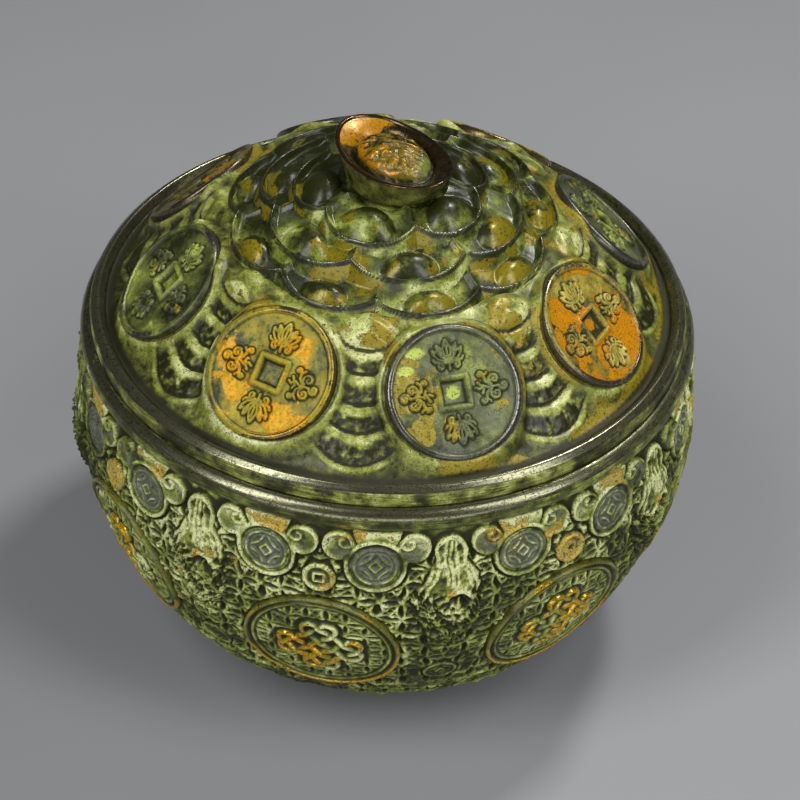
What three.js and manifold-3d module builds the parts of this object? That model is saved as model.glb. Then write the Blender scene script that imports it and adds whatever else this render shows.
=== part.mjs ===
// Round cast-bronze incense burner: relief bowl on a foot ring, removable ash liner with
// a fireproof pad and a small incense stand, and a domed lid carrying eight square-holed
// coins and a heap of boat-shaped ingots with a larger ingot as its knob.
// Millimetres, +Z up, origin on the axis in the plane the foot stands on, front = -Y.
import * as THREE from 'three';
import { mergeVertices } from 'three/addons/utils/BufferGeometryUtils.js';
import Module from 'manifold-3d';

// ---- driving dimensions -------------------------------------------------------------
const RIM_Z = 71;              // parting line between bowl and lid
const GAP = 0.3;               // clearance kept between touching pieces
const SEGS = 40;               // facets round the bowl and the lid

const FOOT_R_OUT = 38, FOOT_R_IN = 31, FOOT_H = 4;

// bowl, outside, from the underside to the neck below the rim bead: [radius, height]
const BOWL_OUT = [[0, 4.3], [38.4, 4.3], [40.6, 5.2], [46.3, 9.2], [52.4, 17], [56.2, 25],
  [59.0, 33], [60.9, 41], [61.5, 49], [60.9, 57], [59.2, 65.6]];
const BOWL_BEAD = [[60.2, 66.8], [60.5, 68.6], [59.8, 70.2], [58.4, 70.9]];
const BOWL_SEAT_R = 55.0, BOWL_SEAT_Z = RIM_Z - GAP;
const BOWL_IN = [[55.0, 64.5], [57.3, 54], [57.0, 42], [54.0, 30], [48.2, 17.5], [42.0, 11.0],
  [36, 8], [0, 7.5]];

// belly ornament, repeated once per 45 degree bay; bay angles are measured from the front
const BAYS = 8;
const BAY_TURN = -10.2;                     // first bay centre, degrees towards +X
const MEDALLION_R = 15.0, MEDALLION_RISE = 1.5;
const MEDALLION_AT = [58.6, RIM_Z - 36], MEDALLION_TILT = 12;
const BEAST_AT = [60.6, RIM_Z - 24], BEAST_SIZE = [6.4, 2.2, 15.5];

// lid, outside, from the seat edge to the stud hole
const LID_OUT = [[58.2, 71.0], [57.7, 73.1], [56.6, 74.0], [55.2, 73.0], [53.2, 73.5], [48, 77.4],
  [40, 84.9], [33, 90.6], [20, 94.4]];
const LID_IN = [[20, 91.9], [31.5, 88.3], [42.4, 78.9], [47.6, 74.2], [52.4, 71.6]];
const FLANGE_R_OUT = 54.6, FLANGE_R_IN = 52.4, FLANGE_Z = 65.2;
const LID_TOP_Z = 96.2, LID_TOP_IN_Z = 93.9;

// large coins on the lid
const COINS = 8;
const COIN_TURN = 16.4;                     // first coin, degrees towards +X from the front
const COIN_R = 12.3, COIN_RIM = 1.4, COIN_RIM_H = 0.55;
const COIN_AT = [43.5, RIM_Z + 13.1], COIN_SLOPE = 42;
const COIN_HOLE = 4.8, COIN_HOLE_DEPTH = 1.2, COIN_FRAME = 6.8, COIN_FRAME_H = 0.45;
const COIN_SPIN = [-8, 38, 12, 65, 20, 50, 5, 25];

// strings of small coins between the large ones
const STRING_R0 = 36.5, STRING_R1 = 53.0, STRING_W0 = 6.4, STRING_W1 = 12.0, STRING_RISE = 1.5;

// heap of ingots
const PILE_R = 32.3;
const PILE_TOP = [[32.1, 91.8], [31.2, 93.6], [28, 95.3], [20, 98.4], [13, 101.0], [9.5, 102.4]];
const PILE_TOP_Z = 102.6;
const PILE_TIERS = [                        // radius, height, count, first angle, [half sizes]
  { r: 29.6, z: 93.6, n: 13, a: -25, s: [6.6, 4.6, 3.2] },
  { r: 22.6, z: 97.0, n: 10, a: 10, s: [6.2, 4.6, 3.0] },
  { r: 15.2, z: 100.2, n: 7, a: -18, s: [5.8, 4.4, 2.8] },
];

// finial ingot and its fixing
const FINIAL_L = 25.5, FINIAL_W = 15.5, FINIAL_TURN = -41;
const FINIAL_BASE_Z = PILE_TOP_Z + GAP;
const FINIAL_TIP_H = 5.8, FINIAL_SIDE_H = 2.9, FINIAL_DOME_H = 4.4;
const STUD_R = 2.5, STUD_HOLE_R = STUD_R + GAP, STUD_END_Z = 88.0;
const WASHER_R = 6.0, WASHER_T = 0.8, NUT_ACROSS = 8.0, NUT_H = 3.2;

// ash liner, pad and incense stand
const LINER_OUT = [[0, 8.0], [33, 8.2], [39.5, 11.2], [45.8, 18.0], [51.0, 30], [52.6, 41],
  [52.8, 60.0], [54.2, 60.6], [54.2, 61.6]];
const LINER_IN = [[51.6, 61.6], [51.4, 41], [49.8, 30.4], [44.8, 18.8], [38.9, 12.3], [32.8, 9.4],
  [0, 9.2]];
const MAT_R = 32.4, MAT_Z0 = 9.2 + 0.5, MAT_T = 3;
const PLATE_R = 16, PLATE_Z = MAT_Z0 + MAT_T + GAP, PLATE_T = 1.4, PLATE_LIP = 1.6;
const HUB_R = 4.2, HUB_H = 3.6, PIN_R = 1.2, PIN_H = 15;

// ---- solids -------------------------------------------------------------------------
const wasm = await Module();
wasm.setup();

function clean(geometry) {
  const g = geometry.clone();
  for (const name of Object.keys(g.attributes)) if (name !== 'position') g.deleteAttribute(name);
  const merged = mergeVertices(g, 1e-4);
  const position = merged.attributes.position;
  const index = merged.index.array;
  const tris = [];
  let volume = 0;
  const a = new THREE.Vector3(), b = new THREE.Vector3(), c = new THREE.Vector3();
  for (let i = 0; i < index.length; i += 3) {
    const [p, q, r] = [index[i], index[i + 1], index[i + 2]];
    if (p === q || q === r || r === p) continue;
    tris.push(p, q, r);
    a.fromBufferAttribute(position, p); b.fromBufferAttribute(position, q); c.fromBufferAttribute(position, r);
    volume += a.dot(b.cross(c));
  }
  if (volume < 0) for (let i = 0; i < tris.length; i += 3) [tris[i + 1], tris[i + 2]] = [tris[i + 2], tris[i + 1]];
  return { vertices: new Float32Array(position.array), tris: new Uint32Array(tris) };
}

function solid(geometry) {
  const { vertices, tris } = clean(geometry);
  return new wasm.Manifold(new wasm.Mesh({ numProp: 3, vertProperties: vertices, triVerts: tris }));
}

function geometryOf(manifold) {
  const mesh = manifold.getMesh();
  const g = new THREE.BufferGeometry();
  const n = mesh.numProp;
  const position = new Float32Array(mesh.vertProperties.length / n * 3);
  for (let i = 0; i < position.length / 3; i++) for (let k = 0; k < 3; k++) position[i * 3 + k] = mesh.vertProperties[i * n + k];
  g.setAttribute('position', new THREE.BufferAttribute(position, 3));
  g.setIndex(new THREE.BufferAttribute(new Uint32Array(mesh.triVerts), 1));
  g.computeVertexNormals();
  return g;
}

// solid of revolution about Z from [radius, height] points
function lathe(points, segs = SEGS) {
  const g = new THREE.LatheGeometry(points.map(([r, z]) => new THREE.Vector2(r, z)), segs);
  g.rotateX(Math.PI / 2);
  return g;
}
const closed = (points) => [...points, points[0]];
const ringBox = (r0, r1, z0, z1) => closed([[r0, z0], [r1, z0], [r1, z1], [r0, z1]]);

// frame on the object at an angle from the front: tangent, up-slope, outward normal
const rad = THREE.MathUtils.degToRad;
function placed(angle, [r, z], tilt, spin = 0) {
  const f = rad(angle), t = rad(tilt);
  const out = new THREE.Vector3(Math.sin(f), -Math.cos(f), 0);
  const side = new THREE.Vector3(Math.cos(f), Math.sin(f), 0);
  const normal = out.clone().multiplyScalar(Math.cos(t)).add(new THREE.Vector3(0, 0, Math.sin(t)));
  const up = new THREE.Vector3().crossVectors(normal, side);
  const m = new THREE.Matrix4().makeBasis(side, up, normal);
  m.setPosition(out.x * r, out.y * r, z);
  return m.multiply(new THREE.Matrix4().makeRotationZ(rad(spin)));
}

// closed skin through a stack of rings, capped to a centre point at both ends
function rings(list, bottom, top) {
  const n = list[0].length, v = [...bottom], idx = [];
  for (const ring of list) for (const p of ring) v.push(...p);
  v.push(...top);
  const last = v.length / 3 - 1;
  for (let i = 0; i < n; i++) {
    const j = (i + 1) % n;
    idx.push(0, 1 + j, 1 + i);
    for (let k = 0; k + 1 < list.length; k++) {
      const a = 1 + k * n, b = a + n;
      idx.push(a + i, a + j, b + j, a + i, b + j, b + i);
    }
    const e = 1 + (list.length - 1) * n;
    idx.push(e + i, e + j, last);
  }
  const g = new THREE.BufferGeometry();
  g.setAttribute('position', new THREE.BufferAttribute(new Float32Array(v), 3));
  g.setIndex(idx);
  return g;
}

// boat-shaped ingot standing at z = 0: flared hull, raised tips, dome in the middle
function ingot(length, width, tip, side, dome, n = 20) {
  const ring = (a, b, h) => Array.from({ length: n }, (_, i) => {
    const t = 2 * Math.PI * i / n;
    return [a * Math.cos(t), b * Math.sin(t), h(t)];
  });
  const lift = (t) => side + (tip - side) * Math.pow(Math.abs(Math.cos(t)), 3);
  const a = length / 2, b = width / 2;
  return rings([
    ring(a * 0.50, b * 0.62, () => 0),
    ring(a * 0.80, b * 0.88, (t) => lift(t) * 0.45),
    ring(a, b, (t) => lift(t)),
    ring(a * 0.93, b * 0.90, (t) => lift(t) * 0.99),
    ring(a * 0.60, b * 0.80, (t) => side * 0.62),
    ring(a * 0.44, b * 0.62, () => side * 0.72 + (dome - side * 0.72) * 0.62),
    ring(a * 0.22, b * 0.34, () => side * 0.72 + (dome - side * 0.72) * 0.93),
  ], [0, 0, 0], [0, 0, dome]);
}

// ---- materials ----------------------------------------------------------------------
const bronze = () => new THREE.MeshStandardMaterial({ color: 0x3f4a1f, roughness: 0.42, metalness: 0.75 });
const gilt = () => new THREE.MeshStandardMaterial({ color: 0x9a6a1e, roughness: 0.45, metalness: 0.8 });
const greenCoin = () => new THREE.MeshStandardMaterial({ color: 0x4c5432, roughness: 0.5, metalness: 0.7 });
const copper = () => new THREE.MeshStandardMaterial({ color: 0x8a4b2c, roughness: 0.4, metalness: 0.9 });
const brass = () => new THREE.MeshStandardMaterial({ color: 0xb08d42, roughness: 0.35, metalness: 0.95 });
const felt = () => new THREE.MeshStandardMaterial({ color: 0xd8d4c6, roughness: 0.95, metalness: 0.0 });

function part(name, geometry, material) {
  const mesh = new THREE.Mesh(geometry, material);
  mesh.name = name;
  return mesh;
}

// ---- bowl ---------------------------------------------------------------------------
const bowlGroup = new THREE.Group();
const bowlProfile = [...BOWL_OUT, ...BOWL_BEAD, [58.2, BOWL_SEAT_Z], [BOWL_SEAT_R, BOWL_SEAT_Z], ...BOWL_IN];
let bowl = solid(lathe(bowlProfile));
const bellyAngle = (i) => BAY_TURN + i * 360 / BAYS;
for (let i = 0; i < BAYS; i++) {
  const boss = new THREE.IcosahedronGeometry(1, 1);
  boss.scale(BEAST_SIZE[0], BEAST_SIZE[2], BEAST_SIZE[1]);
  boss.applyMatrix4(placed(bellyAngle(i) + 180 / BAYS, BEAST_AT, -4));
  bowl = bowl.add(solid(boss));
}
const bowlCavity = solid(lathe([[0, RIM_Z + 5], [BOWL_SEAT_R, RIM_Z + 5], [BOWL_SEAT_R, BOWL_SEAT_Z], ...BOWL_IN]));
bowl = bowl.subtract(bowlCavity);
bowlGroup.add(part('bowl_shell', geometryOf(bowl), bronze()));

bowlGroup.add(part('foot_ring', geometryOf(solid(lathe(closed([
  [FOOT_R_IN, 0], [FOOT_R_OUT - 0.6, 0], [FOOT_R_OUT, 0.6], [FOOT_R_OUT - 0.8, 2.2],
  [FOOT_R_OUT - 0.2, FOOT_H], [FOOT_R_IN, FOOT_H],
])))), bronze()));

// medallions: round discs that follow the belly
const grown = (d) => BOWL_OUT.slice(2).map(([r, z]) => [r + d, z]);
const skin = solid(lathe(closed([...grown(GAP + 0.1), ...grown(MEDALLION_RISE).reverse()])));
for (let i = 0; i < BAYS; i++) {
  const plug = new THREE.CylinderGeometry(MEDALLION_R, MEDALLION_R, 16, 24);
  plug.rotateX(Math.PI / 2);
  plug.applyMatrix4(placed(bellyAngle(i), MEDALLION_AT, -MEDALLION_TILT));
  const disc = skin.intersect(solid(plug));
  bowlGroup.add(part(`bowl_medallion_${i + 1}`, geometryOf(disc), gilt()));
}

// ---- liner, pad and incense stand ---------------------------------------------------
const linerGroup = new THREE.Group();
linerGroup.add(part('ash_liner', geometryOf(solid(lathe([...LINER_OUT, ...LINER_IN], 32))), copper()));
linerGroup.add(part('fire_mat', geometryOf(solid(lathe([
  [0, MAT_Z0], [MAT_R - 0.6, MAT_Z0], [MAT_R, MAT_Z0 + 0.6], [MAT_R, MAT_Z0 + MAT_T - 0.6],
  [MAT_R - 0.6, MAT_Z0 + MAT_T], [0, MAT_Z0 + MAT_T],
], 32))), felt()));

const standGroup = new THREE.Group();
const z0 = PLATE_Z, z1 = PLATE_Z + PLATE_T;
standGroup.add(part('incense_plate', geometryOf(solid(lathe(closed([
  [PIN_R + GAP, z0], [PLATE_R - 1.2, z0], [PLATE_R, z0 + PLATE_LIP + 0.6], [PLATE_R - 0.4, z1 + PLATE_LIP],
  [PLATE_R - 1.8, z1], [HUB_R, z1], [HUB_R - 1.2, z0 + HUB_H], [PIN_R + GAP, z0 + HUB_H],
]), 32))), brass()));
standGroup.add(part('incense_pin', geometryOf(solid(lathe([
  [0, z0 + 0.2], [PIN_R, z0 + 0.2], [PIN_R, z0 + PIN_H - 5], [0.35, z0 + PIN_H - 0.3], [0, z0 + PIN_H],
], 12))), brass()));

// ---- lid ----------------------------------------------------------------------------
const lidGroup = new THREE.Group();
const lidProfile = [...LID_OUT, [STUD_HOLE_R, LID_TOP_Z], [STUD_HOLE_R, LID_TOP_IN_Z], ...LID_IN,
  [FLANGE_R_IN, FLANGE_Z], [FLANGE_R_OUT - 0.5, FLANGE_Z], [FLANGE_R_OUT, FLANGE_Z + 0.5],
  [FLANGE_R_OUT, 71.0]];
let lid = solid(lathe(closed(lidProfile)));
const slopeAt = Math.atan2(11.0, 12.0);
for (let i = 0; i < COINS; i++) {
  const length = (STRING_R1 - STRING_R0) / Math.cos(slopeAt);
  const outline = new THREE.Shape();
  outline.moveTo(-STRING_W1 / 2, -length / 2);
  outline.quadraticCurveTo(0, -length / 2 - 2.0, STRING_W1 / 2, -length / 2);
  outline.lineTo(STRING_W0 / 2, length / 6);
  outline.lineTo(STRING_W0 / 2, length / 2);
  outline.lineTo(-STRING_W0 / 2, length / 2);
  outline.lineTo(-STRING_W0 / 2, length / 6);
  const rib = new THREE.ExtrudeGeometry(outline, { depth: STRING_RISE + 1.4, bevelEnabled: false, curveSegments: 3 });
  rib.translate(0, 0, -1.4);
  const mid = (STRING_R0 + STRING_R1) / 2;
  rib.applyMatrix4(placed(COIN_TURN + (i + 0.5) * 360 / COINS, [mid, 82.0], 90 - THREE.MathUtils.radToDeg(slopeAt)));
  lid = lid.add(solid(rib));
}
lidGroup.add(part('lid_shell', geometryOf(lid), bronze()));

// everything on the lid stays this far above its outside
const lidRaised = LID_OUT.slice(4).map(([r, z]) => [r, z + GAP * 1.35]);
const lidBelow = solid(lathe([[0, 60], [60, 60], [60, 73.4], ...lidRaised, [0, LID_TOP_Z + GAP]]));

for (let i = 0; i < COINS; i++) {
  const h = COIN_RIM_H;
  let coin = solid(lathe([[0, -7], [COIN_R, -7], [COIN_R, h - 0.3], [COIN_R - 0.45, h],
    [COIN_R - COIN_RIM, h], [COIN_R - COIN_RIM, 0], [0, 0]], 20));
  const frame = new THREE.BoxGeometry(COIN_FRAME, COIN_FRAME, 1);
  frame.translate(0, 0, COIN_FRAME_H - 0.5);
  const hole = new THREE.BoxGeometry(COIN_HOLE, COIN_HOLE, 4);
  hole.translate(0, 0, 2 - COIN_HOLE_DEPTH);
  coin = coin.add(solid(frame)).subtract(solid(hole));
  const g = geometryOf(coin);
  g.applyMatrix4(placed(COIN_TURN + i * 360 / COINS, COIN_AT, 90 - COIN_SLOPE, COIN_SPIN[i]));
  lidGroup.add(part(`lid_coin_${i + 1}`, geometryOf(solid(g).subtract(lidBelow)), i % 3 === 0 ? greenCoin() : gilt()));
}

// heap of ingots on the crown of the lid
let pile = solid(lathe([[0, 80], [PILE_R - 0.6, 80], ...PILE_TOP, [8.8, PILE_TOP_Z], [0, PILE_TOP_Z]], 20));
for (const tier of PILE_TIERS) {
  for (let i = 0; i < tier.n; i++) {
    const lump = new THREE.SphereGeometry(1, 6, 4);
    lump.rotateX(Math.PI / 2);
    lump.scale(tier.s[0], tier.s[1], tier.s[2]);
    lump.applyMatrix4(placed(tier.a + i * 360 / tier.n, [tier.r, tier.z], 66));
    pile = pile.add(solid(lump));
  }
}
const envelope = solid(lathe([[0, 85], [PILE_R, 85], [PILE_R, 99], [20, PILE_TOP_Z], [0, PILE_TOP_Z]], 20));
const bore = new THREE.CylinderGeometry(STUD_HOLE_R, STUD_HOLE_R, 60, 16);
bore.rotateX(Math.PI / 2);
bore.translate(0, 0, 95);
pile = pile.intersect(envelope).subtract(lidBelow).subtract(solid(bore));
lidGroup.add(part('ingot_pile', geometryOf(pile), bronze()));

// finial ingot with its stud, washer and nut
const boat = ingot(FINIAL_L, FINIAL_W, FINIAL_TIP_H, FINIAL_SIDE_H, FINIAL_DOME_H);
boat.rotateZ(rad(FINIAL_TURN));
boat.translate(0, 0, FINIAL_BASE_Z);
const stud = new THREE.CylinderGeometry(STUD_R, STUD_R, FINIAL_BASE_Z + 1 - STUD_END_Z, 16);
stud.rotateX(Math.PI / 2);
stud.translate(0, 0, (FINIAL_BASE_Z + 1 + STUD_END_Z) / 2);
lidGroup.add(part('finial_ingot', geometryOf(solid(boat).add(solid(stud))), gilt()));

const washerTop = 92.9;
lidGroup.add(part('finial_washer', geometryOf(solid(lathe(
  ringBox(STUD_HOLE_R, WASHER_R, washerTop - WASHER_T, washerTop), 24))), brass()));
const hex = new THREE.Shape();
for (let i = 0; i < 6; i++) {
  const a = Math.PI / 3 * i, r = NUT_ACROSS / 2 / Math.cos(Math.PI / 6);
  if (i === 0) hex.moveTo(r * Math.cos(a), r * Math.sin(a)); else hex.lineTo(r * Math.cos(a), r * Math.sin(a));
}
hex.closePath();
hex.holes.push(new THREE.Path().absarc(0, 0, STUD_HOLE_R, 0, 2 * Math.PI, true));
const nut = new THREE.ExtrudeGeometry(hex, { depth: NUT_H, bevelEnabled: false, curveSegments: 10 });
nut.translate(0, 0, washerTop - WASHER_T - GAP - NUT_H);
lidGroup.add(part('finial_nut', geometryOf(solid(nut)), brass()));

const burner = new THREE.Group();
burner.add(bowlGroup, linerGroup, standGroup, lidGroup);
export default burner;
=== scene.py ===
import math

import bpy
import numpy as np
from mathutils import Matrix, Vector


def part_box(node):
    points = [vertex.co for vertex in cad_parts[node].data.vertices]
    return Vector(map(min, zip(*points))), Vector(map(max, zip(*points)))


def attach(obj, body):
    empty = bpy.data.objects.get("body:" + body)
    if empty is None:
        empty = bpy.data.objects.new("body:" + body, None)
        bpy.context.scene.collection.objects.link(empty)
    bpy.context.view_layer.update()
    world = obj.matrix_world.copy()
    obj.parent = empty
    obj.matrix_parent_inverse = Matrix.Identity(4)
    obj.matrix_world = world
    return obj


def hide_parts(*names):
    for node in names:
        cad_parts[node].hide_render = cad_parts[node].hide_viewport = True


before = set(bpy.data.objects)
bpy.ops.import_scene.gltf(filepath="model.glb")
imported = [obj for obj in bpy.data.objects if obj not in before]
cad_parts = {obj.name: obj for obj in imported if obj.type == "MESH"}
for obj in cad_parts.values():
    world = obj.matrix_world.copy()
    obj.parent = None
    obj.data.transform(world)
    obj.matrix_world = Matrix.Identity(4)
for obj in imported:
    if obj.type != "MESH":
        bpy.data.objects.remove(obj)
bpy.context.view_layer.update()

# Bronze incense burner. All shapes below are worked out in millimetres in the row frame (+Z up, front = -Y) and
# become metres when the meshes are made. Angles are degrees round the axis from the front, positive towards +X.
MM = 0.001
BAYS = 8
BAY_COLS = 200
BAY_TURN = -10.2  # belly bay 1
COIN_TURN = 16.4  # lid coin 1
RIM_Z = 71.0


# ---------------------------------------------------------------- small maths
def smooth(a, b, x):
    t = np.clip((x - a) / (b - a), 0.0, 1.0)
    return t * t * (3.0 - 2.0 * t)


def ridge(d, w, h):
    """A rounded raised line: d is the distance from its middle, w its half width."""
    return h * np.clip(1.0 - (d / w) ** 2, 0.0, 1.0) ** 0.7


def smax(a, b, k):
    h = np.clip(0.5 + 0.5 * (a - b) / k, 0.0, 1.0)
    return b + (a - b) * h + k * h * (1.0 - h)


def lattice_hash(ix, iy, iz, seed):
    h = (ix * 374761393 + iy * 668265263 + iz * 1442695041 + seed * 974634777) & 0xFFFFFFFF
    h = ((h ^ (h >> 13)) * 1274126177) & 0xFFFFFFFF
    h = ((h ^ (h >> 15)) * 2246822519) & 0xFFFFFFFF
    return ((h ^ (h >> 16)) & 0xFFFFFF) / float(0xFFFFFF)


def vnoise(p, seed=0):
    """Value noise of points (..., 3), from 0 to 1."""
    i = np.floor(p).astype(np.int64)
    f = p - i
    w = f * f * (3.0 - 2.0 * f)
    out = 0.0
    for dx in (0, 1):
        wx = w[..., 0] if dx else 1.0 - w[..., 0]
        for dy in (0, 1):
            wy = w[..., 1] if dy else 1.0 - w[..., 1]
            for dz in (0, 1):
                wz = w[..., 2] if dz else 1.0 - w[..., 2]
                out = out + wx * wy * wz * lattice_hash(i[..., 0] + dx, i[..., 1] + dy, i[..., 2] + dz, seed)
    return out


def fbm(p, size, seed=0, octaves=3):
    """Layered noise whose largest lumps are about size millimetres."""
    q = np.asarray(p, float) / size
    out, amp, total = 0.0, 1.0, 0.0
    for k in range(octaves):
        out = out + amp * vnoise(q * 2.0**k + 17.3 * k, seed + k)
        total += amp
        amp *= 0.55
    return out / total


def blur(a, sx, sy, wrap_x):
    """Gaussian blur of a grid (rows, columns), widths in cells. Columns wrap when wrap_x."""
    def one(a, s, axis, wrap):
        n = max(1, int(math.ceil(3 * s)))
        k = np.exp(-0.5 * (np.arange(-n, n + 1) / s) ** 2)
        k /= k.sum()
        pad = [(0, 0), (0, 0)]
        pad[axis] = (n, n)
        b = np.pad(a, pad, mode="wrap" if wrap else "edge")
        out = np.zeros_like(a)
        for i, x in enumerate(k):
            sl = [slice(None), slice(None)]
            sl[axis] = slice(i, i + a.shape[axis])
            out += x * b[tuple(sl)]
        return out
    return one(one(a, sx, 1, wrap_x), sy, 0, False)


def seg_dist(x, y, a, b):
    ax, ay = a
    bx, by = b
    dx, dy = bx - ax, by - ay
    L = dx * dx + dy * dy
    t = np.clip(((x - ax) * dx + (y - ay) * dy) / (L if L > 1e-12 else 1.0), 0.0, 1.0)
    return np.hypot(x - ax - t * dx, y - ay - t * dy)


def line_dist(x, y, pts):
    d = np.full(np.shape(x), 1e9)
    for a, b in zip(pts[:-1], pts[1:]):
        d = np.minimum(d, seg_dist(x, y, a, b))
    return d


def box_sdf(x, y, hx, hy, r=0.0):
    qx, qy = np.abs(x) - hx + r, np.abs(y) - hy + r
    return np.hypot(np.maximum(qx, 0), np.maximum(qy, 0)) + np.minimum(np.maximum(qx, qy), 0) - r


def spiral(cx, cy, r0, r1, a0, a1, n=26):
    """Points of a scroll from radius r0 at angle a0 to r1 at a1, in degrees."""
    t = np.linspace(0, 1, n)
    r = r0 + (r1 - r0) * t
    a = np.radians(a0 + (a1 - a0) * t)
    return list(zip(cx + r * np.cos(a), cy + r * np.sin(a)))


def through(points, step):
    """A smooth curve through points, as evenly spaced points about step apart."""
    p = np.array(points, float)
    p = np.vstack([2 * p[0] - p[1], p, 2 * p[-1] - p[-2]])
    out = []
    for i in range(1, len(p) - 2):
        a, b, c, d = p[i - 1], p[i], p[i + 1], p[i + 2]
        t0, t1 = 0.0, np.linalg.norm(b - a) ** 0.5
        t2 = t1 + np.linalg.norm(c - b) ** 0.5
        t3 = t2 + np.linalg.norm(d - c) ** 0.5
        t = np.linspace(t1, t2, 40, endpoint=False)[:, None]
        A1 = (t1 - t) / (t1 - t0) * a + (t - t0) / (t1 - t0) * b
        A2 = (t2 - t) / (t2 - t1) * b + (t - t1) / (t2 - t1) * c
        A3 = (t3 - t) / (t3 - t2) * c + (t - t2) / (t3 - t2) * d
        B1 = (t2 - t) / (t2 - t0) * A1 + (t - t0) / (t2 - t0) * A2
        B2 = (t3 - t) / (t3 - t1) * A2 + (t - t1) / (t3 - t1) * A3
        out.append((t2 - t) / (t2 - t1) * B1 + (t - t1) / (t2 - t1) * B2)
    out = np.vstack(out + [p[-2][None]])
    return even(out, step)


def even(pts, step):
    pts = np.array(pts, float)
    s = np.concatenate([[0], np.cumsum(np.hypot(*np.diff(pts, axis=0).T))])
    n = max(2, int(round(s[-1] / step)) + 1)
    t = np.linspace(0, s[-1], n)
    return np.stack([np.interp(t, s, pts[:, 0]), np.interp(t, s, pts[:, 1])], 1)


def joined(*parts):
    out = [np.array(parts[0], float)]
    for p in parts[1:]:
        p = np.array(p, float)
        if np.hypot(*(out[-1][-1] - p[0])) < 1e-6:
            p = p[1:]
        out.append(p)
    return np.vstack(out)


def profile_normals(p):
    """Unit normals of an (r, z) profile that runs anticlockwise round the material seen with r to the right."""
    d = np.gradient(p, axis=0)
    n = np.stack([d[:, 1], -d[:, 0]], 1)
    return n / np.maximum(np.linalg.norm(n, axis=1, keepdims=True), 1e-9)


def polar(r, phi, z):
    return np.stack([r * np.sin(phi), -r * np.cos(phi), z + 0 * phi], -1)


# ---------------------------------------------------------------- meshes
def mesh_object(name, verts, quads=None, tris=None, attrs=None, smooth_shade=True):
    """One closed mesh from millimetre points."""
    verts = np.asarray(verts, np.float64) * MM
    quads = np.zeros((0, 4), np.int32) if quads is None else np.asarray(quads, np.int32)
    tris = np.zeros((0, 3), np.int32) if tris is None else np.asarray(tris, np.int32)
    me = bpy.data.meshes.new(name)
    me.vertices.add(len(verts))
    me.vertices.foreach_set("co", verts.astype(np.float32).ravel())
    loops = np.concatenate([quads.ravel(), tris.ravel()])
    me.loops.add(len(loops))
    me.loops.foreach_set("vertex_index", loops)
    starts = np.concatenate([np.arange(len(quads)) * 4, len(quads) * 4 + np.arange(len(tris)) * 3])
    me.polygons.add(len(starts))
    me.polygons.foreach_set("loop_start", starts.astype(np.int32))
    me.update(calc_edges=True)
    me.validate()
    me.polygons.foreach_set("use_smooth", np.full(len(me.polygons), smooth_shade))
    for key, val in (attrs or {}).items():
        a = me.attributes.new(key, "FLOAT", "POINT")
        a.data.foreach_set("value", np.asarray(val, np.float32).ravel())
    me.update()
    ob = bpy.data.objects.new(name, me)
    bpy.context.scene.collection.objects.link(ob)
    return ob


def lathe(name, P, attrs=None, pole0=None, pole1=None, closed=False):
    """P is (rows, columns, 3), columns wrap. pole0 and pole1 close the ends with a fan, closed joins the last row to the first."""
    m, n, _ = P.shape
    idx = np.arange(m * n).reshape(m, n)
    nxt = np.roll(idx, -1, axis=1)
    lo, hi = (idx, np.roll(idx, -1, axis=0)) if closed else (idx[:-1], idx[1:])
    lon, hin = (nxt, np.roll(nxt, -1, axis=0)) if closed else (nxt[:-1], nxt[1:])
    quads = np.stack([lo, lon, hin, hi], -1).reshape(-1, 4)
    verts = P.reshape(-1, 3)
    tris = []
    attrs = {k: np.asarray(v, float).reshape(m, n) for k, v in (attrs or {}).items()}
    extra = {k: [] for k in attrs}
    for pole, row, flip in ((pole0, 0, True), (pole1, m - 1, False)):
        if pole is None:
            continue
        k = len(verts)
        verts = np.vstack([verts, np.array(pole, float)[None]])
        a, b = idx[row], nxt[row]
        t = np.stack([b, a, np.full(n, k)], 1) if flip else np.stack([a, b, np.full(n, k)], 1)
        tris.append(t)
        for q in attrs:
            extra[q].append(attrs[q][row].mean())
    attrs = {q: np.concatenate([v.ravel(), extra[q]]) for q, v in attrs.items()}
    return mesh_object(name, verts, quads, np.vstack(tris) if tris else None, attrs)


def turned(name, prof, cols, attrs_of=None, close=True):
    """A plain turned piece from an (r, z) profile that starts and ends on the axis or is a closed loop."""
    prof = np.array(prof, float)
    ph = np.linspace(0, 2 * np.pi, cols, endpoint=False)[None]
    p0 = p1 = None
    if prof[0, 0] < 1e-6:
        p0 = (0, 0, prof[0, 1])
        prof = prof[1:]
    if prof[-1, 0] < 1e-6:
        p1 = (0, 0, prof[-1, 1])
        prof = prof[:-1]
    P = polar(prof[:, :1] + 0 * ph, ph + 0 * prof[:, :1], prof[:, 1:])
    return lathe(name, P, attrs_of(P, prof) if attrs_of else None, p0, p1, closed=p0 is None)


def bevelled(loop, c, n=3):
    """A closed or open (r, z) polygon with its inner corners rounded by about c."""
    pts = [np.array(p, float) for p in loop]
    out = [pts[0]]
    for a, b, d in zip(pts[:-2], pts[1:-1], pts[2:]):
        u, v = a - b, d - b
        lu, lv = np.linalg.norm(u), np.linalg.norm(v)
        k = min(c, 0.45 * lu, 0.45 * lv)
        p, q = b + u / lu * k, b + v / lv * k
        for t in np.linspace(0, 1, n + 1):
            out.append((1 - t) ** 2 * p + 2 * t * (1 - t) * b + t * t * q)
    out.append(pts[-1])
    return np.array(out)


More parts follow.
